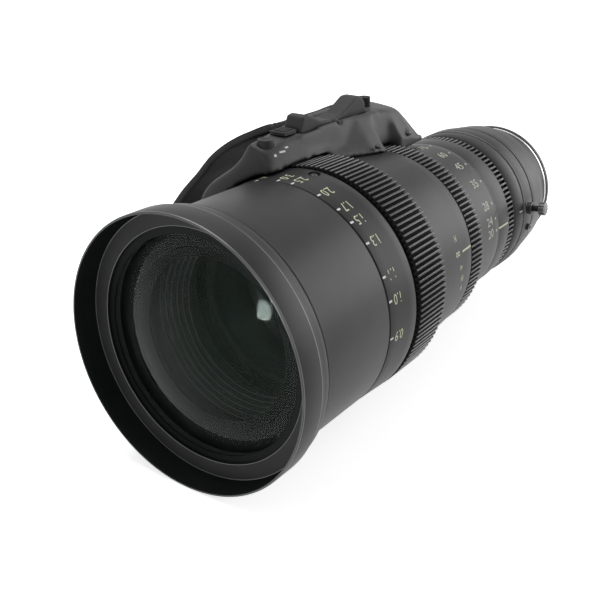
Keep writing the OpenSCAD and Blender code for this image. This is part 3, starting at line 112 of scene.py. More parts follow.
camera_data = bpy.data.cameras.new("photo_camera")
camera_data.lens = CAMERA_LENS
camera_data.sensor_width = CAMERA_SENSOR
camera = bpy.data.objects.new("photo_camera", camera_data)
camera.location = CAMERA_PLACE
camera.rotation_euler = [math.radians(a) for a in CAMERA_TURN]
bpy.context.scene.collection.objects.link(camera)
bpy.context.scene.camera = camera
bpy.context.scene.view_settings.view_transform = "Standard"
print("camera at", CAMERA_PLACE)

# %% [markdown]
# ## The studio
#
# A product picture on white needs a floor that keeps the soft shadow and
# otherwise vanishes. The floor is white, and for rays that come straight from
# the camera, or by way of metal or glass, it also glows. That lifts it to paper
# white, and throws no more light on the lens. The world round the lens is made
# in the same way.

# %% Floor
FLOOR_SIZE = 12
FLOOR_WHITE = 0.8
FLOOR_GLOW = 0.72


def math_node(tree, operation, first, second):
    """Result of a sum on two values; each is a socket or a number."""
    node = tree.nodes.new("ShaderNodeMath")
    node.operation = operation
    for value, socket in zip((first, second), node.inputs):
        if isinstance(value, bpy.types.NodeSocket):
            tree.links.new(value, socket)
        else:
            socket.default_value = value
    return node.outputs[0]


def seen_directly(tree, level):
    """level for camera, glossy and transmission rays, and 0 for others."""
    ray = tree.nodes.new("ShaderNodeLightPath").outputs
    seen = math_node(tree, "MAXIMUM", ray["Is Camera Ray"], ray["Is Glossy Ray"])
    seen = math_node(tree, "MAXIMUM", seen, ray["Is Transmission Ray"])
    return math_node(tree, "MULTIPLY", seen, level)


def paper_white():
    """White floor paper, which glows a little where it is seen directly."""
    material = bpy.data.materials.new("paper_white")
    material.use_nodes = True
    tree = material.node_tree
    tree.nodes.clear()
    paper = tree.nodes.new("ShaderNodeBsdfDiffuse")
    paper.inputs["Color"].default_value = (FLOOR_WHITE, FLOOR_WHITE, FLOOR_WHITE, 1)
    glow = tree.nodes.new("ShaderNodeEmission")
    tree.links.new(seen_directly(tree, FLOOR_GLOW), glow.inputs["Strength"])
    both = tree.nodes.new("ShaderNodeAddShader")
    tree.links.new(paper.outputs[0], both.inputs[0])
    tree.links.new(glow.outputs[0], both.inputs[1])
    out = tree.nodes.new("ShaderNodeOutputMaterial")
    tree.links.new(both.outputs[0], out.inputs["Surface"])
    return material


bpy.ops.object.select_all(action="DESELECT")
floor_height = BOX_AT_LOAD[0][2]
bpy.ops.mesh.primitive_plane_add(size=FLOOR_SIZE, location=(0, 0, floor_height))
floor = bpy.context.object
floor.name = "floor"
floor.data.materials.append(paper_white())
print("floor at", round(floor_height, 4))

# %% [markdown]
# Black metal shows little colour of its own, so what one sees on it is mostly
# the reflection of the lamps. They are area lamps, which act as soft boxes. The
# largest one stands behind the lens on the index side, which is why the rings
# get lighter towards the mount. The smallest one is in front, and is there for
# its reflection in the front glass.

# %% World and lamps
WORLD_FILL = 0.32
# Each lamp has its place, the point that it aims at, its size and its watts.
LAMPS = {
    "top_box": ((-0.3, -0.1, 1.1), (0, -0.12, 0), (0.9, 0.8), 9),
    "rear_index_box": ((0.8, 0.95, 0.42), (0, -0.12, 0), (1.3, 0.9), 13),
    "front_box": ((0.02, -1.5, 0.03), (0, -0.27, 0), (0.13, 0.17), 4),
}

world = bpy.data.worlds.new("white_room")
bpy.context.scene.world = world
world.use_nodes = True
room = world.node_tree
room.nodes.clear()
level = math_node(room, "ADD", seen_directly(room, 1 - WORLD_FILL), WORLD_FILL)
sky = room.nodes.new("ShaderNodeBackground")
sky.inputs["Color"].default_value = (1, 1, 1, 1)
room.links.new(level, sky.inputs["Strength"])
sky_out = room.nodes.new("ShaderNodeOutputWorld")
room.links.new(sky.outputs[0], sky_out.inputs["Surface"])

for lamp_name, (place, aim, size, power) in LAMPS.items():
    lamp_data = bpy.data.lights.new(lamp_name, "AREA")
    lamp_data.shape = "RECTANGLE"
    lamp_data.size, lamp_data.size_y = size
    lamp_data.energy = power
    lamp = bpy.data.objects.new(lamp_name, lamp_data)
    lamp.location = place
    direction = Vector(aim) - Vector(place)
    lamp.rotation_euler = direction.to_track_quat("-Z", "Y").to_euler()
    bpy.context.scene.collection.objects.link(lamp)
print("lamps:", ", ".join(LAMPS))

# %% [markdown]
# ## Finishes
#
# Each finish is a small node tree that reads the place on the object, so that
# a grain of a tenth of a millimetre stays that size on every piece. Edges of
# real parts are broken by a fine chamfer that catches light. A Bevel node
# turns the shading normal over the last fraction of a millimetre at each
# edge, which gives that line of light without changing the solids.

# %% Helpers for finishes
BEVEL_SAMPLES = 4


def finish(name, colour, roughness, metallic=0.0, specular=0.5):
    """A new material with its main shader; returns (material, tree, shader)."""
    material = bpy.data.materials.new(name)
    material.use_nodes = True
    tree = material.node_tree
    shader = tree.nodes["Principled BSDF"]
    shader.inputs["Base Color"].default_value = (*colour, 1)
    shader.inputs["Roughness"].default_value = roughness
    shader.inputs["Metallic"].default_value = metallic
    shader.inputs["Specular IOR Level"].default_value = specular
    return material, tree, shader


def noise(tree, scale, detail=2.0, stretch=(1, 1, 1)):
    """Noise on the place in metres: scale is bumps per metre."""
    place = tree.nodes.new("ShaderNodeTexCoord")
    mapping = tree.nodes.new("ShaderNodeMapping")
    mapping.inputs["Scale"].default_value = stretch
    tree.links.new(place.outputs["Object"], mapping.inputs["Vector"])
    texture = tree.nodes.new("ShaderNodeTexNoise")
    texture.inputs["Scale"].default_value = scale
    texture.inputs["Detail"].default_value = detail
    tree.links.new(mapping.outputs["Vector"], texture.inputs["Vector"])
    return texture.outputs["Fac"]


def spread(tree, value, low, high, into):
    """Turns a 0 to 1 value into low to high, and leads it into a socket."""
    ranged = tree.nodes.new("ShaderNodeMapRange")
    ranged.inputs["To Min"].default_value = low
    ranged.inputs["To Max"].default_value = high
    tree.links.new(value, ranged.inputs["Value"])
    tree.links.new(ranged.outputs["Result"], into)


RAMP_LOW = 0.3
RAMP_HIGH = 0.7


def shades(tree, value, dark, light, into):
    """Leads a colour between dark and light into a socket, by the value."""
    ramp = tree.nodes.new("ShaderNodeValToRGB")
    ends = ((RAMP_LOW, dark), (RAMP_HIGH, light))
    for end, (position, colour) in zip(ramp.color_ramp.elements, ends):
        end.position = position
        end.color = (*colour, 1)
    tree.links.new(value, ramp.inputs["Fac"])
    tree.links.new(ramp.outputs["Color"], into)


def relief(tree, shader, height, depth, edge=0.0):
    """Bump of a real depth in metres, over edges rounded by edge."""
    bump = tree.nodes.new("ShaderNodeBump")
    bump.inputs["Distance"].default_value = depth
    tree.links.new(height, bump.inputs["Height"])
    if edge:
        broken = tree.nodes.new("ShaderNodeBevel")
        broken.samples = BEVEL_SAMPLES
        broken.inputs["Radius"].default_value = edge
        tree.links.new(broken.outputs["Normal"], bump.inputs["Normal"])
    tree.links.new(bump.outputs["Normal"], shader.inputs["Normal"])


print("helpers ready")

# %% [markdown]
# Anodised aluminium is blasted with fine beads and then dyed black in a bath.
# The blasting leaves a grain, and the dye is slightly cloudy. One function
# makes both, and the finishes differ only in how dark, rough and coarse they
# are. The blacks inside the barrel have no relief, because nothing there is
# seen from near by.

# %% Black anodised metal
CLOUD_SCALE = 60
ROUGHNESS_SWING = 0.06


def anodised(name, dark, light, roughness, grain, depth=0, edge=0, mirror=0.25):
    """Black with cloudy dye; grain is bumps per metre, depth is in metres."""
    material, tree, shader = finish(name, light, roughness, specular=mirror)
    cloud = noise(tree, CLOUD_SCALE, 3)
    shades(tree, cloud, dark, light, shader.inputs["Base Color"])
    fine = noise(tree, grain, 2)
    smooth, rough = roughness - ROUGHNESS_SWING, roughness + ROUGHNESS_SWING
    spread(tree, fine, smooth, rough, shader.inputs["Roughness"])
    if depth:
        relief(tree, shader, fine, depth, edge)
    return material


barrel_black = anodised(
    "barrel_black", (0.017, 0.017, 0.018), (0.024, 0.024, 0.025), 0.4, 3500,
    depth=2e-5, edge=2e-4, mirror=0.15,
)
gear_black = anodised(
    "gear_black", (0.006, 0.006, 0.006), (0.008, 0.008, 0.008), 0.4, 3500,
    depth=1e-5, edge=1e-4, mirror=0.15,
)
inner_black = anodised(
    "inner_black", (0.002, 0.003, 0.003), (0.003, 0.004, 0.004), 0.45, 3000,
    mirror=0.1,
)
trap_black = anodised(
    "trap_black", (0.016, 0.024, 0.022), (0.024, 0.034, 0.031), 0.35, 3000,
    mirror=0.4,
)
funnel_black = anodised(
    "funnel_black", (0.012, 0.015, 0.014), (0.015, 0.018, 0.017), 0.85, 3000,
    mirror=0.0,
)
knob_grey = anodised(
    "knob_grey", (0.09, 0.09, 0.09), (0.12, 0.12, 0.12), 0.35, 3500,
    depth=1e-5, edge=1e-4, mirror=0.5,
)
glass_edge = anodised(
    "glass_edge", (0.050, 0.053, 0.053), (0.056, 0.059, 0.059), 0.9, 3000,
    mirror=0.0,
)
# A lighter black for chamfers and for the lips of the light traps: a painted highlight.
painted_highlight_black = anodised(
    "painted_highlight_black", (0.07, 0.07, 0.072), (0.10, 0.10, 0.102), 0.3, 3500,
    mirror=0.6,
)
screw_black = anodised(
    "screw_black", (0.02, 0.02, 0.02), (0.03, 0.03, 0.03), 0.25, 3500,
    depth=1e-5, edge=1e-4, mirror=0.5,
)
print("anodised finishes ready")

# %% [markdown]
# Moulded plastic, rubber, webbing and the circuit board take the same function.
# Their grain is coarser and deeper than that of the blasted metal.

# %% Moulded grip, rubber, strap and board
grip_black = anodised(
    "grip_black", (0.021, 0.021, 0.022), (0.030, 0.030, 0.031), 0.5, 1600,
    depth=8e-5, edge=5e-4,
)
rubber_black = anodised(
    "rubber_black", (0.016, 0.016, 0.016), (0.022, 0.022, 0.022), 0.62, 2200,
    depth=5e-5, edge=4e-4,
)
strap_black = anodised(
    "strap_black", (0.012, 0.012, 0.012), (0.024, 0.024, 0.024), 0.7, 900,
    depth=1.5e-4, edge=3e-4,
)
board_green = anodised(
    "board_green", (0.01, 0.05, 0.02), (0.015, 0.07, 0.03), 0.45, 800,
    depth=2e-5, edge=1e-4,
)
print("soft and moulded finishes ready")

# %% [markdown]
# Steel and brass that come off a lathe keep its fine rings. Noise that is
# drawn out across the lens and squeezed along it gives such rings, both as
# roughness and as a relief of a few thousandths of a millimetre.

# %% Turned steel and brass
LATHE_RINGS = 900
LATHE_STRETCH = (0.02, 8, 0.02)
TOOL_MARK = 4e-6
METAL_EDGE = 2e-4


def turned_metal(name, colour, roughness):
    """Bright metal with the fine rings that a lathe tool leaves."""
    material, tree, shader = finish(name, colour, roughness, metallic=1.0)
    rings = noise(tree, LATHE_RINGS, 1, stretch=LATHE_STRETCH)
    spread(tree, rings, roughness - 0.05, roughness + 0.08, shader.inputs["Roughness"])
    relief(tree, shader, rings, TOOL_MARK, METAL_EDGE)
    return material


bare_metal = turned_metal("bare_metal", (0.62, 0.62, 0.63), 0.24)
brass = turned_metal("brass", (0.68, 0.47, 0.2), 0.28)
print("turned metals ready")

# %% [markdown]
# A coated lens reflects far less than plain glass does, and what it still
# reflects is tinted. A low refractive index gives the weak reflection, and the
# tint is a colour on the reflection alone.

# %% Coated glass
def coated_glass(name, index, tint):
    """Clear glass; a low index stands for the coating's weak reflection."""
    material, _, shader = finish(name, (1, 1, 1), 0.0)
    shader.inputs["Transmission Weight"].default_value = 1.0
    shader.inputs["IOR"].default_value = index
    shader.inputs["Specular Tint"].default_value = (*tint, 1)
    return material


coat_grey = coated_glass("coat_grey", 1.16, (0.85, 1.0, 0.95))
coat_green = coated_glass("coat_green", 1.07, (0.35, 1.0, 0.6))
coat_blue = coated_glass("coat_blue", 1.08, (0.4, 0.6, 1.0))
print("glass ready")

# %% [markdown]
# Each solid already knows what it is made of, by the name of its material slot.
# Here every name gets one of the finishes above.

# %% Every solid gets its finish
FINISH_OF_SLOT = {
    "anodised_black": barrel_black,
    "gear_black": gear_black,
    "inner_black": inner_black,
    "grip_black": grip_black,
    "bare_metal": bare_metal,
    "brass": brass,
    "glass": coat_green,
    "rubber": rubber_black,
    "strap": strap_black,
    "board": board_green,
}
SLOT_OF_NODE = {
    part["node"]: part["material_slot"] for part in frame["record"]["subparts"]
}


def paint(piece, material):
    """Gives a piece one finish, in place of what it had."""
    piece.data.materials.clear()
    piece.data.materials.append(material)


for node, solid in frame["nodes"].items():
    if node in SLOT_OF_NODE:
        paint(solid, FINISH_OF_SLOT[SLOT_OF_NODE[node]])
print("painted:", sum(node in SLOT_OF_NODE for node in frame["nodes"]))

# %% [markdown]
# ## Broken edges on the turned parts
#
# No turned part leaves the shop with a knife edge. A copy of each ring has its
# loose triangles merged, then a fine chamfer goes along every sharp edge. The
# chamfers are shiny and take a lighter colour, a painted highlight, so with the
# lamps they draw the thin light lines round the hood and along the rings. The
# chamfers of the front barrel and the focus ring take a dull black instead, as
# painted shade for the dark seams there.

# %% Helpers for working on a copy of a solid
def only(piece):
    """Makes one piece the selected and active one."""
    bpy.ops.object.select_all(action="DESELECT")
    piece.select_set(True)
    bpy.context.view_layer.objects.active = piece


def own_copy(node, name):
    """A copy of a solid with its loose triangles merged."""
    solid = frame["nodes"][node]
    piece = bpy.data.objects.new(name, solid.data.copy())
    piece.data.name = name
    piece.data.transform(solid.matrix_world)
    bpy.context.scene.collection.objects.link(piece)
    only(piece)
    if piece.data.has_custom_normals:
        bpy.ops.mesh.customdata_custom_splitnormals_clear()
    bpy.ops.object.mode_set(mode="EDIT")
    bpy.ops.mesh.select_all(action="SELECT")
    bpy.ops.mesh.remove_doubles(threshold=2e-6)
    bpy.ops.mesh.normals_make_consistent(inside=False)
    bpy.ops.object.mode_set(mode="OBJECT")
    return piece


def apply_modifiers(piece):
    """Applies the modifiers of a piece from the top."""
    only(piece)
    for modifier in list(piece.modifiers):
        bpy.ops.object.modifier_apply(modifier=modifier.name)


BODY_OF_NODE = {
    node: body
    for body, nodes in frame["record"]["behaviour"]["bodies"].items()
    for node in nodes
}


def stands_for(piece, node, material=None):
    """A finished piece takes a solid's place and moves with its body."""
    material = material or FINISH_OF_SLOT[SLOT_OF_NODE[node]]
    if len(piece.data.materials) > 1:
        piece.data.materials[0] = material
    else:
        paint(piece, material)
    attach(piece, BODY_OF_NODE[node])
    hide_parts(node)
    return piece


def joined(pieces, name):
    """Joins pieces into one of this name."""
    bpy.ops.object.select_all(action="DESELECT")
    for piece in pieces:
        piece.select_set(True)
    bpy.context.view_layer.objects.active = pieces[0]
    bpy.ops.object.join()
    whole = bpy.context.object
    whole.name = whole.data.name = name
    return whole


print("helpers ready")

# %% Chamfered rings
CHAMFERS = {
    "front_ring": 0.35,
    "front_barrel": 0.12,
    "focus_ring": 0.12,
    "focus_gear": 0.12,
    "mid_body": 0.2,
    "zoom_gear": 0.12,
    "zoom_ring": 0.2,
    "index_ring": 0.2,
    "iris_ring": 0.12,
    "back_focus_ring": 0.2,
    "rear_body": 0.2,
    "mount_flange": 0.25,
    "rear_tube": 0.25,
    "grip_screws": 0.12,
    "focus_ring_screw": 0.1,
    "back_focus_lock": 0.15,
}
SHARP_EDGE = 28
CHAMFER_STEPS = 2
# These chamfers take the dull inner black, as painted shade for the dark seams.
SEAM_PAINTED_SHADE = {"front_barrel": inner_black, "focus_ring": inner_black}


def chamfered(node, width):
    """A copy of a solid with a fine chamfer along its sharp edges."""
    piece = own_copy(node, node + "_turned")
    paint(piece, barrel_black)
    piece.data.materials.append(SEAM_PAINTED_SHADE.get(node, painted_highlight_black))
    bevel = piece.modifiers.new("chamfer", "BEVEL")
    bevel.width = width * MM
    bevel.segments = CHAMFER_STEPS
    bevel.limit_method = "ANGLE"
    bevel.angle_limit = math.radians(SHARP_EDGE)
    bevel.use_clamp_overlap = False
    # The chamfer faces take the second material: a painted highlight, or painted seam
    # shade.
    bevel.material = 1
    apply_modifiers(piece)
    bpy.ops.object.shade_smooth_by_angle(angle=math.radians(SHARP_EDGE))
    return piece


FINISH_OF_NODE = {"grip_screws": screw_black, "focus_ring_screw": screw_black}
turned = {}
for node, width in CHAMFERS.items():
    ring = chamfered(node, width)
    turned[node] = stands_for(ring, node, FINISH_OF_NODE.get(node))
print("chamfered:", {n: len(p.data.polygons) for n, p in turned.items()})

# %% [markdown]
# Light that goes astray inside a lens veils the picture, so makers paint the
# bores with a dull black of their own. It goes on every face that looks at the
# axis, as a third material next to those of the surface and of its chamfers.
# The cells that hold the inner lenses are painted all over.

# %% Dull black inside the barrel
BORE_SLOT = 2
INWARD_SHARE = 0.5
BORE_FINISH = {
    "front_ring": funnel_black,
    "front_barrel": trap_black,
    "mid_body": trap_black,
    "rear_body": trap_black,
}
DULL_CELLS = ("focus_cell", "variator_cell", "compensator_cell", "relay_cell")


def looks_inward(face):
    """True for a face that looks mainly at the axis."""
    side = Vector((face.center.x, 0, face.center.z)).normalized()
    return face.normal.dot(side) < -INWARD_SHARE


for node, dull in BORE_FINISH.items():
    turned[node].data.materials.append(dull)
    for face in turned[node].data.polygons:
        if looks_inward(face):
            face.material_index = BORE_SLOT
for node in DULL_CELLS:
    paint(frame["nodes"][node], trap_black)
print("bores blackened")

# %% [markdown]
# The lock of the back focus ring is a small knob on a threaded pin. The solid's
# head is wider than the one in the photograph, so the points outside the pin
# are drawn in towards its axis, and the head gets a lighter grey of its own.

# %% A smaller head on the lock
LOCK_HEAD_SHARE = 0.72
LOCK_HEAD_HEIGHT = 3.2
LOCK_STEM = 2.3
LOCK_HEAD_SLOT = 2

lock = turned["back_focus_lock"]
lock_low, lock_high = corners_of("back_focus_lock")
lock_middle = (lock_low + lock_high) / 2
outward = Vector((lock_middle.x, 0, lock_middle.z)).normalized()
pin_foot = Vector((0, lock_middle.y, 0))
for vertex in lock.data.vertices:
    along = outward * (vertex.co - pin_foot).dot(outward)
    aside = vertex.co - pin_foot - along
    if aside.length > LOCK_STEM * MM:
        vertex.co = pin_foot + along + aside * LOCK_HEAD_SHARE
lock.data.materials.append(knob_grey)
head_top = max(outward.dot(v.co - pin_foot) for v in lock.data.vertices)
head_foot = head_top - LOCK_HEAD_HEIGHT * MM
for face in lock.data.polygons:
    if outward.dot(face.center - pin_foot) > head_foot:
        face.material_index = LOCK_HEAD_SLOT
print("lock head made smaller")

# %% [markdown]
# Between gear teeth it is nearly dark, because little light gets in. A
# material that reads how far a point is from the axis paints that shade: the
# roots are black and rough, and the tips lighter and smoother.

# %% Teeth with painted shade at the roots
TOOTH_DEPTH = 0.7
TOOTH_TIP = 0.05
TOOTH_TOP = 0.35
# The root colour is painted shade between the teeth.
ROOT_PAINTED_SHADE = (0.001, 0.001, 0.001)
TIP_BLACK = (0.022, 0.022, 0.023)
ROOT_ROUGHNESS = 0.9
TIP_ROUGHNESS = 0.4


def toothed_painted_shade(name, root, tip):
    """Black with painted shade between the teeth; root and tip are radii in mm."""
    material, tree, shader = finish(name, TIP_BLACK, TIP_ROUGHNESS, specular=0.2)
    place = tree.nodes.new("ShaderNodeTexCoord")
    split = tree.nodes.new("ShaderNodeSeparateXYZ")
    tree.links.new(place.outputs["Object"], split.inputs[0])
    flat = tree.nodes.new("ShaderNodeCombineXYZ")
    tree.links.new(split.outputs["X"], flat.inputs["X"])
    tree.links.new(split.outputs["Z"], flat.inputs["Z"])
    radius = tree.nodes.new("ShaderNodeVectorMath")
    radius.operation = "LENGTH"
    tree.links.new(flat.outputs[0], radius.inputs[0])
    height = tree.nodes.new("ShaderNodeMapRange")
    height.inputs["From Min"].default_value = root * MM
    height.inputs["From Max"].default_value = tip * MM
    tree.links.new(radius.outputs["Value"], height.inputs["Value"])
    share = height.outputs["Result"]
    shades(tree, share, ROOT_PAINTED_SHADE, TIP_BLACK, shader.inputs["Base Color"])
    spread(tree, share, ROOT_ROUGHNESS, TIP_ROUGHNESS, shader.inputs["Roughness"])
    return material


for node in ("focus_gear", "zoom_gear", "iris_ring"):
    radii = [math.hypot(v.co.x, v.co.z) / MM for v in turned[node].data.vertices]
    tip = max(radii)
    turned[node].data.materials[0] = toothed_painted_shade(
        node + "_black", tip - TOOTH_DEPTH, tip - TOOTH_TIP
    )
    # Faces below the tips take the painted shade, not the painted highlight.
    for face in turned[node].data.polygons:
        if math.hypot(face.center.x, face.center.z) < (tip - TOOTH_TOP) * MM:
            face.material_index = 0
    print(node, "tip", round(tip, 1))

# %% [markdown]
# Each lens has two polished faces and a ground edge, which are told apart by
# their normals. The edge is black, or a dull grey on the front lens, where one
# looks right at it. The front lens has another coating on its back than on its
# front, so its two reflections have different tints.

# %% Ground glass
GLASS_COATS = {
    "front_element": coat_grey,
    "second_element": coat_green,
    "focus_element": coat_green,
    "variator_element": coat_blue,
    "compensator_element": coat_green,
    "relay_element": coat_blue,
    "rear_group_lens": coat_green,
    "rear_element": coat_green,
}
EDGE_FLATNESS = 0.35
POLISHED_SLOT, EDGE_SLOT, BACK_SLOT = 0, 1, 2


def ground_glass(node, coat):
    """A lens with smooth coated faces and a dull edge."""
    piece = own_copy(node, node + "_polished")
    piece.data.materials.clear()
    only(piece)
    bpy.ops.object.shade_smooth_by_angle(angle=math.radians(SHARP_EDGE))
    stands_for(piece, node, coat)
    is_front = node == "front_element"
    piece.data.materials.append(glass_edge if is_front else inner_black)
    if is_front:
        piece.data.materials.append(coat_green)
    for face in piece.data.polygons:
        if abs(face.normal.y) < EDGE_FLATNESS:
            face.material_index = EDGE_SLOT
        elif is_front and face.normal.y > 0:
            face.material_index = BACK_SLOT
        else:
            face.material_index = POLISHED_SLOT
    return piece


polished = {node: ground_glass(node, coat) for node, coat in GLASS_COATS.items()}
print("glass:", ", ".join(polished))

# %% [markdown]
# ## The baffle behind the front glass
#
# A turned cone sits behind the front lens. It lets light in only through its
# round hole, so from the front one sees a plain dark funnel with the ringed
# barrel deep inside. Its outline is drawn in one half plane as (radius, place
# behind the front rim) in millimetres, and is then spun round the axis.

# %% Front baffle
SPIN_STEPS = 128


def spun(name, outline):
    """A ring turned from a closed outline of (radius, place) points."""
    mesh = bpy.data.meshes.new(name)
    points = [(r * MM, s * MM + FRONT_RIM, 0) for r, s in outline]
    count = len(points)
    mesh.from_pydata(points, [(i, (i + 1) % count) for i in range(count)], [])
    piece = bpy.data.objects.new(name, mesh)
    bpy.context.scene.collection.objects.link(piece)
    only(piece)
    bpy.ops.object.mode_set(mode="EDIT")
    bpy.ops.mesh.select_all(action="SELECT")
    bpy.ops.mesh.spin(
        steps=SPIN_STEPS, angle=2 * math.pi, center=(0, 0, 0), axis=(0, 1, 0)
    )
    bpy.ops.mesh.select_all(action="SELECT")
    bpy.ops.mesh.remove_doubles(threshold=1e-6)
    bpy.ops.mesh.normals_make_consistent(inside=False)
    bpy.ops.object.mode_set(mode="OBJECT")
    bpy.ops.object.shade_smooth_by_angle(angle=math.radians(SHARP_EDGE))
    return piece


FUNNEL = [(37.7, 20.4), (37.7, 21.4), (33.4, 23.8), (33.4, 22.9)]
funnel = spun("front_funnel", FUNNEL)
paint(funnel, funnel_black)
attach(funnel, "barrel")
print("funnel:", len(funnel.data.polygons), "faces")

# %% [markdown]
# Deeper in, the barrel is turned in sharp ridges. Light that comes in at a
# slant is caught between them, and only their lips shine, as a set of fine
# bright rings. The lips are the narrow flat faces that look forward, and they
# alone take a lighter colour, a painted highlight that draws those rings.

# %% Ridged light traps
RIDGE_LIP = 0.45
RIDGE_DEPTH = 1.1
RIDGE_SLOPE = 0.35
LIP_SLOT = 1
LIP_NORMAL = -0.9
LIP_SLACK = 1.1


def is_lip(trap, face):
    """True for a narrow flat face of a trap that looks forward."""
    corners = [trap.data.vertices[i].co for i in face.vertices]
    radii = [math.hypot(corner.x, corner.z) for corner in corners]
    narrow = max(radii) - min(radii) < LIP_SLACK * RIDGE_LIP * MM
    return narrow and face.normal.y < LIP_NORMAL


def ridged(name, outer, start, end, wide, narrow, ridges):
    """A light trap: a cone with a ridged inside, from wide to narrow, in mm."""
    pitch = (end - start) / ridges
    outline = [(outer, end), (outer, start)]
    for k in range(ridges):
        near = wide + (narrow - wide) * k / ridges
        deep = near + RIDGE_DEPTH
        at = start + pitch * k
        outline += [(near + RIDGE_LIP, at), (near, at)]
        outline += [(deep, at + RIDGE_SLOPE * pitch), (deep, at + pitch)]
    trap = spun(name, outline)
    paint(trap, trap_black)
    # The lips take a painted highlight.
    trap.data.materials.append(painted_highlight_black)
    for face in trap.data.polygons:
        face.material_index = LIP_SLOT if is_lip(trap, face) else 0
    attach(trap, "barrel")
    return trap


front_trap = ridged(
    "front_trap", outer=47.8, start=40.5, end=56.5, wide=41.0, narrow=34.5, ridges=6
)
rear_trap = ridged(
    "rear_trap", outer=37.5, start=101.5, end=111.5, wide=33.0, narrow=28.0, ridges=5
)
print("light traps:", len(front_trap.data.polygons), len(rear_trap.data.polygons))

# %% [markdown]
# A thin bright band and a black rim go round the mount, where the lens meets
# the camera. Both are spun from their outlines, as the baffle was.

# %% Rim round the mount
SEAT_RINGS = {
    "seat_band": (
        bare_metal,
        [(34.66, 275.2), (34.95, 275.4), (34.95, 276.8), (34.66, 276.8)],
    ),
    "seat_rim": (
        barrel_black,
        [
            (34.66, 276.9), (35.15, 276.9), (35.35, 277.1), (35.35, 279.3),
            (35.1, 279.6), (34.12, 279.6), (34.12, 277.1), (34.66, 277.1),
        ],
    ),
}
for name, (metal, outline) in SEAT_RINGS.items():
    seat_ring = spun(name, outline)
    paint(seat_ring, metal)
    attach(seat_ring, "barrel")
print("round the mount:", ", ".join(SEAT_RINGS))

# %% [markdown]
# ## The moulded grip
#
# The housing of the drive unit is a plastic moulding, so all its edges are
# soft. A copy of each half is turned into one even skin of small squares, and
# the skin is smoothed until the creases of the solid have become gentle
# bends. The two halves stay apart, which leaves the parting line. The outside
# of the housing is smoothed further, but not its bore, which fits the barrel,
# nor the pocket that the rocker tilts in. Last, the skin is pushed back from
# the pinion, so that the gear has room to turn.

# %% Soft mouldings
SOFTEN = 0.5


def moulded(node, skin, rounds):
    """A copy of a solid with an even skin and soft edges; skin is in mm."""
    piece = own_copy(node, node + "_moulded")
    remesh = piece.modifiers.new("skin", "REMESH")
    remesh.mode = "VOXEL"
    remesh.voxel_size = skin * MM
    soften = piece.modifiers.new("soften", "SMOOTH")
    soften.factor = SOFTEN
    soften.iterations = rounds
    apply_modifiers(piece)
    bpy.ops.object.shade_smooth()
    return piece


def melted(piece, chosen, rounds):
    """Smooths only the points that chosen picks, with a soft border."""
    group = piece.vertex_groups.new(name="melt")
    for vertex in piece.data.vertices:
        weight = chosen(vertex.co / MM)
        if weight > 0:
            group.add([vertex.index], min(1.0, weight), "REPLACE")
    soften = piece.modifiers.new("melt", "SMOOTH")
    soften.factor = SOFTEN
    soften.iterations = rounds
    soften.vertex_group = "melt"
    apply_modifiers(piece)
    piece.vertex_groups.clear()


ROCKER_LOW, ROCKER_HIGH = [corner / MM for corner in corners_of("zoom_rocker")]
BORE_KEPT = 56.5
BORE_BORDER = 3
POCKET_KEPT = 3.0
POCKET_BORDER = 2
POCKET_START = 0.2
BELOW_POCKET = 50


def outer_skin(place):
    """1 or more on the outside of the housing, 0 or less at bore and pocket."""
    off_axis = math.hypot(place.x, place.z)
    off_pocket = max(
        ROCKER_LOW.x - place.x, place.x - ROCKER_HIGH.x,
        ROCKER_LOW.y - place.y, place.y - ROCKER_HIGH.y,
    )
    if place.z < BELOW_POCKET:
        off_pocket = POCKET_KEPT + POCKET_BORDER
    return min(
        (off_axis - BORE_KEPT) / BORE_BORDER,
        (off_pocket - POCKET_KEPT) / POCKET_BORDER + POCKET_START,
    )


def kept_clear(piece, node, room):
    """Pushes a moulding's points out of the drum that a gear turns in."""
    low, high = corners_of(node)
    middle = (low + high) / 2
    radius = (high.x - low.x) / 2 + room * MM
    for vertex in piece.data.vertices:
        aside = Vector((vertex.co.x - middle.x, 0, vertex.co.z - middle.z))
        in_reach = low.y - room * MM < vertex.co.y < high.y + room * MM
        if in_reach and 0 < aside.length < radius:
            vertex.co += aside.normalized() * (radius - aside.length)


GRIP_SKIN = 1.0
GRIP_ROUNDS = 10
GRIP_MELT = 60
PINION_ROOM = 0.7
halves = {}
for node in ("grip_shell", "palm_cover"):
    half = moulded(node, GRIP_SKIN, GRIP_ROUNDS)
    if node == "grip_shell":
        melted(half, outer_skin, GRIP_MELT)
        kept_clear(half, "focus_pinion", PINION_ROOM)
    halves[node] = stands_for(half, node)
    print(node, len(half.data.polygons), "faces")
for node, skin, rounds in (("gear_cover", 0.8, 6), ("zoom_rocker", 0.45, 24)):
    piece = stands_for(moulded(node, skin, rounds), node)
    print(node, len(piece.data.polygons), "faces")

# %% [markdown]
# ## Controls
#
# The controls are what a hand finds without looking, so each has its own
# feel: the button has a dish for the fingertip, the slide has ridges, and the
# speed dial a milled edge. They are modelled in edit mode, where chosen faces
# are inset, sunk or pushed in, and each keeps to the box of the solid that it
# stands for. The dish is three insets, of which the inner two go down.

# %% Button with a finger dish
FACES_UP = 0.9
ROUNDED_OVER = 40
DRUM_SHY = 0.1
BUTTON_DISH = ((0.9, 0), (0.9, 0.35), (0.9, 0.15))


def chosen_faces(piece, pick):
    """Selects the faces of the active piece that pick accepts."""
    bpy.ops.object.mode_set(mode="EDIT")
    bpy.ops.mesh.select_mode(type="FACE")
    bpy.ops.mesh.select_all(action="DESELECT")
    bpy.ops.object.mode_set(mode="OBJECT")
    for face in piece.data.polygons:
        face.select = pick(face)
    bpy.ops.object.mode_set(mode="EDIT")


def sunk(steps):
    """Insets the chosen faces and sinks them, a step at a time, in mm."""
    for inset, drop in steps:
        bpy.ops.mesh.inset(thickness=inset * MM)
        if drop:
            bpy.ops.transform.translate(value=(0, 0, -drop * MM))
    bpy.ops.object.mode_set(mode="OBJECT")


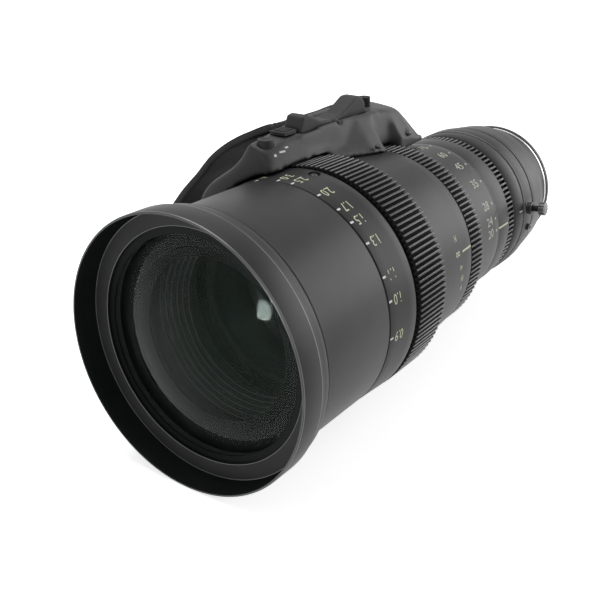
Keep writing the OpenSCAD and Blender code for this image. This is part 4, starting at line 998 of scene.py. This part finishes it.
def drum(name, node, sides):
    """An upright drum that fills a solid's box."""
    low, high = corners_of(node)
    bpy.ops.object.select_all(action="DESELECT")
    bpy.ops.mesh.primitive_cylinder_add(
        vertices=sides, radius=(high.x - low.x) / 2 - DRUM_SHY * MM,
        depth=high.z - low.z, location=(low + high) / 2,
    )
    piece = bpy.context.object
    piece.name = piece.data.name = name
    bpy.ops.object.transform_apply()
    return piece


def broken(piece, width, segments=3):
    """Rounds the sharp edges of a piece."""
    bevel = piece.modifiers.new("round", "BEVEL")
    bevel.width = width * MM
    bevel.segments = segments
    bevel.limit_method = "ANGLE"
    bevel.angle_limit = math.radians(ROUNDED_OVER)
    apply_modifiers(piece)
    bpy.ops.object.shade_smooth_by_angle(angle=math.radians(ROUNDED_OVER))


button = drum("button_dished", "record_button", 64)
chosen_faces(button, lambda face: face.normal.z > FACES_UP)
sunk(BUTTON_DISH)
broken(button, width=0.3)
stands_for(button, "record_button")
print("button:", len(button.data.polygons), "faces")

# %% [markdown]
# The dial is a drum of 48 sides. Every other side is pushed in a little, which
# mills its edge, and the top gets a shallow recess.

# %% Speed dial with a milled edge
DIAL_GROOVE = 0.22
DIAL_RECESS = ((0.6, 0), (0.2, 0.3))
DIAL_TOP_AREA = 4e-6
FACES_ASIDE = 0.1


def is_groove(face):
    """True for every other side of the drum."""
    return abs(face.normal.z) < FACES_ASIDE and face.index % 2 == 0


def is_dial_top(face):
    """True for the large upper face, and not for the ends of the grooves."""
    return face.normal.z > FACES_UP and face.area > DIAL_TOP_AREA


dial = drum("dial_milled", "speed_dial", 48)
chosen_faces(dial, is_groove)
bpy.ops.mesh.extrude_faces_move(
    TRANSFORM_OT_shrink_fatten={"value": -DIAL_GROOVE * MM}
)
bpy.ops.object.mode_set(mode="OBJECT")
chosen_faces(dial, is_dial_top)
sunk(DIAL_RECESS)
stands_for(dial, "speed_dial")
print("dial:", len(dial.data.polygons), "faces")

# %% [markdown]
# The slide is a rubber block with four ridges across it for the thumb. The
# solid is lowered a little to make the base, and each ridge is a rounded bar
# that stands on it and ends where the solid's top was.

# %% Ridged slide
RIDGES = 4
SLIDE_TOP = 0.2
SLIDE_LOWERED = 0.6
RIDGE_FROM_END = 1.2
RIDGE_FROM_SIDE = 0.9
RIDGE_HALF = 0.55
RIDGE_FOOT = 1.4
RIDGE_HEAD = 0.02


def box_piece(name, low, high):
    """A box between two corners, with its place in the mesh."""
    bpy.ops.object.select_all(action="DESELECT")
    bpy.ops.mesh.primitive_cube_add(size=1, location=(Vector(low) + Vector(high)) / 2)
    piece = bpy.context.object
    piece.name = piece.data.name = name
    piece.scale = Vector(high) - Vector(low)
    bpy.ops.object.transform_apply()
    return piece


low, high = corners_of("mode_switch")
slide = own_copy("mode_switch", "slide_base")
for vertex in slide.data.vertices:
    if vertex.co.z > high.z - SLIDE_TOP * MM:
        vertex.co.z -= SLIDE_LOWERED * MM
broken(slide, width=0.35)
ridges = [slide]
span = (high.y - low.y) - 2 * RIDGE_FROM_END * MM
for k in range(RIDGES):
    y = low.y + RIDGE_FROM_END * MM + span * (k + 0.5) / RIDGES
    aside, half = RIDGE_FROM_SIDE * MM, RIDGE_HALF * MM
    foot = (low.x + aside, y - half, high.z - RIDGE_FOOT * MM)
    head = (high.x - aside, y + half, high.z - RIDGE_HEAD * MM)
    ridge = box_piece("ridge", foot, head)
    broken(ridge, width=0.25)
    ridges.append(ridge)
slide = joined(ridges, "slide_ridged")
for face in slide.data.polygons:
    face.material_index = 0
slide.data.materials.clear()
stands_for(slide, "mode_switch", rubber_black)
print("slide with", RIDGES, "ridges")

# %% [markdown]
# A small screw stands out of the back focus ring. It is modelled upright at the
# origin, with a hole in its head, and is then turned outwards and set where a
# ray meets the ring. It turns with that ring.

# %% Small screw on the back focus ring
SCREW_AT = 236.5
SCREW_ANGLE = -9.0
SCREW_RADIUS = 1.9
SCREW_STANDS = 1.3
SCREW_SUNK = 0.4
SCREW_HOLE = ((0.8, 0), (0.15, 0.7))

outward = away(math.radians(SCREW_ANGLE))
seat, _ = surface_at(
    turned["back_focus_ring"], SCREW_AT * MM + FRONT_RIM, math.radians(SCREW_ANGLE)
)
bpy.ops.object.select_all(action="DESELECT")
bpy.ops.mesh.primitive_cylinder_add(
    vertices=48, radius=SCREW_RADIUS * MM, depth=(SCREW_STANDS + SCREW_SUNK) * MM
)
screw = bpy.context.object
screw.name = screw.data.name = "back_focus_screw"
chosen_faces(screw, lambda face: face.normal.z > FACES_UP)
sunk(SCREW_HOLE)
broken(screw, width=0.12, segments=2)
upright = outward.to_track_quat("Z", "Y").to_matrix().to_4x4()
middle = seat + outward * (SCREW_STANDS - SCREW_SUNK) / 2 * MM
screw.data.transform(Matrix.Translation(middle) @ upright)
paint(screw, screw_black)
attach(screw, "back_focus_group")
print("screw stands", SCREW_STANDS, "mm out of the ring")

# %% [markdown]
# ## Strap
#
# The strap is thick webbing with a bound edge. Its body is smoothed from the
# solid strap. For the stitching, rays are sent from outside towards the axis
# at even steps, which tells where the strap's surface lies; one small stitch
# is modelled and a copy is laid at each of those places, along both edges.
# Two thin cords along each edge, laid in the same way, are its binding.

# %% Strap body
strap = stands_for(moulded("hand_strap", skin=0.9, rounds=8), "hand_strap")
print("strap:", len(strap.data.polygons), "faces")

# %% Stitching
STITCH_LENGTH = 2.4
STITCH_WIDTH = 0.8
STITCH_THICK = 0.5
STITCH_INSET = 5.0
STITCH_ROW_GAP = 3.2
STITCH_ROWS = 4
STITCH_FROM = 112
STITCH_TO = 216
STITCH_STEP = 2.0
STITCH_JUMP = 8
PIPING_ANGLES = range(104, 217, 2)
PIPING_INSETS = (1.0, 3.0)
PIPING_THICK = 1.0


def one_stitch():
    """One thread stitch that lies along X."""
    bpy.ops.object.select_all(action="DESELECT")
    bpy.ops.mesh.primitive_uv_sphere_add(segments=8, ring_count=6, radius=0.5)
    stitch = bpy.context.object
    stitch.name = "stitch"
    size = Vector((STITCH_LENGTH, STITCH_WIDTH, STITCH_THICK)) * MM
    stitch.data.transform(Matrix.Diagonal(size).to_4x4())
    return stitch


def laid_stitch(pattern, found, ahead):
    """A copy of the stitch on one found place, which points at the next."""
    (place, normal), (next_place, _) = found, ahead
    along = (next_place - place).normalized()
    out = (normal - along * normal.dot(along)).normalized()
    turn = Matrix((along, out.cross(along), out)).transposed().to_4x4()
    stitch = pattern.copy()
    stitch.data = pattern.data.copy()
    stitch.data.transform(Matrix.Translation(place) @ turn)
    bpy.context.scene.collection.objects.link(stitch)
    return stitch


strap_low, strap_high = corners_of("hand_strap")
pattern = one_stitch()
stitches = []
for row in range(STITCH_ROWS):
    inset = (STITCH_INSET + STITCH_ROW_GAP * (row % 2)) * MM
    y = strap_low.y + inset if row < STITCH_ROWS / 2 else strap_high.y - inset
    angle = math.radians(STITCH_FROM)
    while angle < math.radians(STITCH_TO):
        found = surface_at(strap, y, angle)
        ahead = surface_at(strap, y, angle + math.radians(STITCH_STEP))
        if found and ahead and (ahead[0] - found[0]).length < STITCH_JUMP * MM:
            stitches.append(laid_stitch(pattern, found, ahead))
        angle += math.radians(STITCH_STEP)
bpy.data.objects.remove(pattern)


def piping(y):
    """A thin cord that follows the strap's surface at one place along Y."""
    line = bpy.data.curves.new("piping", "CURVE")
    line.dimensions = "3D"
    line.bevel_depth = PIPING_THICK / 2 * MM
    line.bevel_resolution = 2
    line.use_fill_caps = True
    hits = [surface_at(strap, y, math.radians(a)) for a in PIPING_ANGLES]
    found = [hit[0] for hit in hits if hit]
    path = line.splines.new("POLY")
    path.points.add(len(found) - 1)
    for point, place in zip(path.points, found):
        point.co = (*place, 1)
    cord = bpy.data.objects.new("piping", line)
    bpy.context.scene.collection.objects.link(cord)
    only(cord)
    bpy.ops.object.convert(target="MESH")
    return bpy.context.object


for inset in PIPING_INSETS:
    stitches.append(piping(strap_low.y + inset * MM))
    stitches.append(piping(strap_high.y - inset * MM))
stitching = joined(stitches, "strap_stitching")
bpy.ops.object.shade_smooth()
paint(stitching, FINISH_OF_SLOT["strap"])
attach(stitching, "barrel")
print("stitches:", len(stitches))

# %% [markdown]
# The strap is cloth, and it rests on both halves of the grip.

# %% [markdown]
# ## Scales and index marks
#
# Marks are paint in shallow engraving: a few hundredths of a millimetre thick.
# Each one starts flat, along X and Y, and is then wrapped on the ring: X goes
# along the axis and Y goes round it. The radius comes from a ray that is sent
# at the ring, so that the paint always lies on the metal. The marks of a ring
# are joined into one piece, which turns with that ring.

# %% Helpers for marks
PAINT = 0.05
SINK = 0.02
DIGIT_SQUEEZE = 0.8
DIGIT_SHARE = 0.73
LINE_STEPS = 8
USUAL_RADIUS = 0.05


def mark_paint(name, colour):
    """Matt engraving paint."""
    material, tree, shader = finish(name, colour, 0.6, specular=0.3)
    grain = noise(tree, 4000, 2)
    spread(tree, grain, 0.5, 0.7, shader.inputs["Roughness"])
    return material


scale_yellow = mark_paint("scale_yellow", (0.52, 0.52, 0.36))
scale_faded = mark_paint("scale_faded", (0.40, 0.40, 0.33))
scale_white = mark_paint("scale_white", (0.62, 0.62, 0.60))


def radius_at(piece, s, angle):
    """Radius of a ring's surface, s mm behind the front rim; 0 where it ends."""
    found = surface_at(piece, s * MM + FRONT_RIM, angle)
    return math.hypot(found[0].x, found[0].z) if found else 0.0


def wrapped(flat, piece, s, degrees, reads=1):
    """Wraps a flat mark on a ring; it reads to the rear, or with -1 forward."""
    middle = math.radians(degrees)
    for vertex in flat.data.vertices:
        x, y, z = vertex.co
        at = s + reads * x / MM
        guess = radius_at(piece, at, middle) or USUAL_RADIUS
        angle = middle + reads * y / guess
        r = (radius_at(piece, at, angle) or guess) + z - SINK * MM
        vertex.co = (r * math.cos(angle), at * MM + FRONT_RIM, r * math.sin(angle))
    only(flat)
    bpy.ops.object.mode_set(mode="EDIT")
    bpy.ops.mesh.select_all(action="SELECT")
    bpy.ops.mesh.normals_make_consistent(inside=False)
    bpy.ops.object.mode_set(mode="OBJECT")
    return flat


def flat_words(words, height):
    """Words as a thin flat mesh with their middle at the origin."""
    bpy.ops.object.select_all(action="DESELECT")
    bpy.ops.object.text_add()
    text = bpy.context.object
    text.data.body = words
    text.data.size = height / DIGIT_SHARE * MM
    text.data.align_x = "CENTER"
    text.data.align_y = "CENTER"
    text.data.resolution_u = 3
    text.data.extrude = PAINT / 2 * MM
    bpy.ops.object.convert(target="MESH")
    text = bpy.context.object
    text.data.transform(Matrix.Diagonal((DIGIT_SQUEEZE, 1, 1, 1)))
    text.data.transform(Matrix.Translation((0, 0, PAINT / 2 * MM)))
    return text


def flat_line(length, width):
    """A painted line along X that starts at 0."""
    bpy.ops.object.select_all(action="DESELECT")
    bpy.ops.mesh.primitive_grid_add(
        x_subdivisions=LINE_STEPS, y_subdivisions=1, size=1
    )
    line = bpy.context.object
    size = Matrix.Diagonal((length * MM, width * MM, 1, 1))
    line.data.transform(size @ Matrix.Translation((0.5, 0, 0)))
    only(line)
    bpy.ops.object.mode_set(mode="EDIT")
    bpy.ops.mesh.select_all(action="SELECT")
    bpy.ops.mesh.extrude_region_move(
        TRANSFORM_OT_translate={"value": (0, 0, PAINT * MM)}
    )
    bpy.ops.object.mode_set(mode="OBJECT")
    return line


def finished_marks(marks, name, body, material):
    """Joins marks into one painted piece that moves with its ring."""
    whole = joined(marks, name)
    paint(whole, material)
    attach(whole, body)
    print(name + ":", len(marks))


print("mark helpers ready")

# %% [markdown]
# The focus scale gives distances. The numbers that the photograph shows stand
# where it shows them, in degrees round the ring, and the others carry the scale
# on. They read towards the front, and a short line stands in front of each.

# %% Focus scale
FOCUS_MARKS = {
    13.5: "1.0", 24.6: "1.1", 40.8: "1.3", 52.1: "1.5", 60.3: "1.7",
    71.5: "2.0", 85.9: "2.5", 93.6: "3.0", 106: "4", 120: "6", 136: "10",
    154: "20", 172: "\u221e", -4: "0.9",
}
FOCUS_TICK_AT = 66.9
FOCUS_TICK = (2.1, 0.9)
FOCUS_DIGIT = 4.6
FOCUS_DIGIT_AT = 73.4
FOCUS_DIGITS = 3
FOCUS_SHIFT = 0.4

focus_ring = turned["focus_ring"]
marks = [
    wrapped(flat_line(*FOCUS_TICK), focus_ring, FOCUS_TICK_AT, degrees)
    for degrees in FOCUS_MARKS
]
finished_marks(marks, "focus_ticks", "focus_ring_group", scale_white)
marks = []
for degrees, words in FOCUS_MARKS.items():
    at = FOCUS_DIGIT_AT - FOCUS_SHIFT * (FOCUS_DIGITS - len(words))
    number = flat_words(words, FOCUS_DIGIT)
    marks.append(wrapped(number, focus_ring, at, degrees, reads=-1))
finished_marks(marks, "focus_numbers", "focus_ring_group", scale_yellow)

# %% [markdown]
# The zoom scale gives focal lengths. Its numbers are wider than the focus
# numbers, worn paler, and each has a dot behind it.

# %% Zoom scale
ZOOM_MARKS = {
    6.4: "20", 14.8: "24", 25.6: "28", 42.3: "35", 58.0: "45", 72.0: "60",
    87.0: "75", 100.0: "90",
}
ZOOM_DOT_AT = 190.9
ZOOM_DOT = 1.2
ZOOM_DIGIT = 4.4
ZOOM_SPREAD = 1.5
ZOOM_DIGIT_AT = 183.2

zoom_ring = turned["zoom_ring"]
marks = []
for degrees, words in ZOOM_MARKS.items():
    number = flat_words(words, ZOOM_DIGIT)
    number.data.transform(Matrix.Diagonal((ZOOM_SPREAD, 1, 1, 1)))
    marks.append(wrapped(number, zoom_ring, ZOOM_DIGIT_AT, degrees))
    dot = flat_line(ZOOM_DOT, ZOOM_DOT)
    marks.append(wrapped(dot, zoom_ring, ZOOM_DOT_AT - ZOOM_DOT / 2, degrees))
finished_marks(marks, "zoom_numbers", "zoom_ring_group", scale_faded)

# %% [markdown]
# A scale is read against a line on the ring next to it, which stays still. Two
# such lines and a few small signs are painted on the fixed rings, and the iris
# ring has one short line of its own.

# %% Index lines on the fixed rings
# Each sign has its words, its height, its place and its angle.
MID_SIGNS = (
    ("\u221e", 4.6, 135.2, 12.2),
    ("H", 3.2, 135.3, 20.7),
    ("m", 3.2, 137.9, 4.1),
    ("18", 3.0, 139.5, -3.5),
    ("6", 3.0, 140.8, -9.5),
)
mid_body = turned["mid_body"]
marks = [wrapped(flat_line(9.8, 0.9), mid_body, 140.4, 12.0)]
for words, height, s, degrees in MID_SIGNS:
    marks.append(wrapped(flat_words(words, height), mid_body, s, degrees))
marks.append(wrapped(flat_line(11.2, 0.9), turned["index_ring"], 195.0, 6.0))
finished_marks(marks, "index_lines", "barrel", scale_yellow)
marks = [wrapped(flat_line(3.6, 0.6), turned["iris_ring"], 223.6, 7.0)]
finished_marks(marks, "iris_mark", "iris_ring_group", scale_white)

# %% [markdown]
# Next to the controls a bar, a dash and a dot are painted on the housing. They
# are laid flat where a ray from above meets it.

# %% Signs on the panel
SIGN_RAY_FROM = 200
# Each sign has its x, its y, its length and its width.
PANEL_SIGNS = {
    "bar": (-12.6, -198.6, 3.4, 0.8),
    "dash": (-12.6, -194.6, 1.8, 0.8),
    "dot": (-12.8, -202.0, 1.3, 1.1),
}

marks = []
for x, y, length, width in PANEL_SIGNS.values():
    sign = flat_line(length, width)
    _, place, normal, _ = halves["grip_shell"].ray_cast(
        Vector((x, y, SIGN_RAY_FROM)) * MM, Vector((0, 0, -1))
    )
    turn = normal.to_track_quat("Z", "Y").to_matrix().to_4x4()
    sign.data.transform(Matrix.Translation(place) @ turn)
    marks.append(sign)
finished_marks(marks, "panel_signs", "barrel", scale_white)
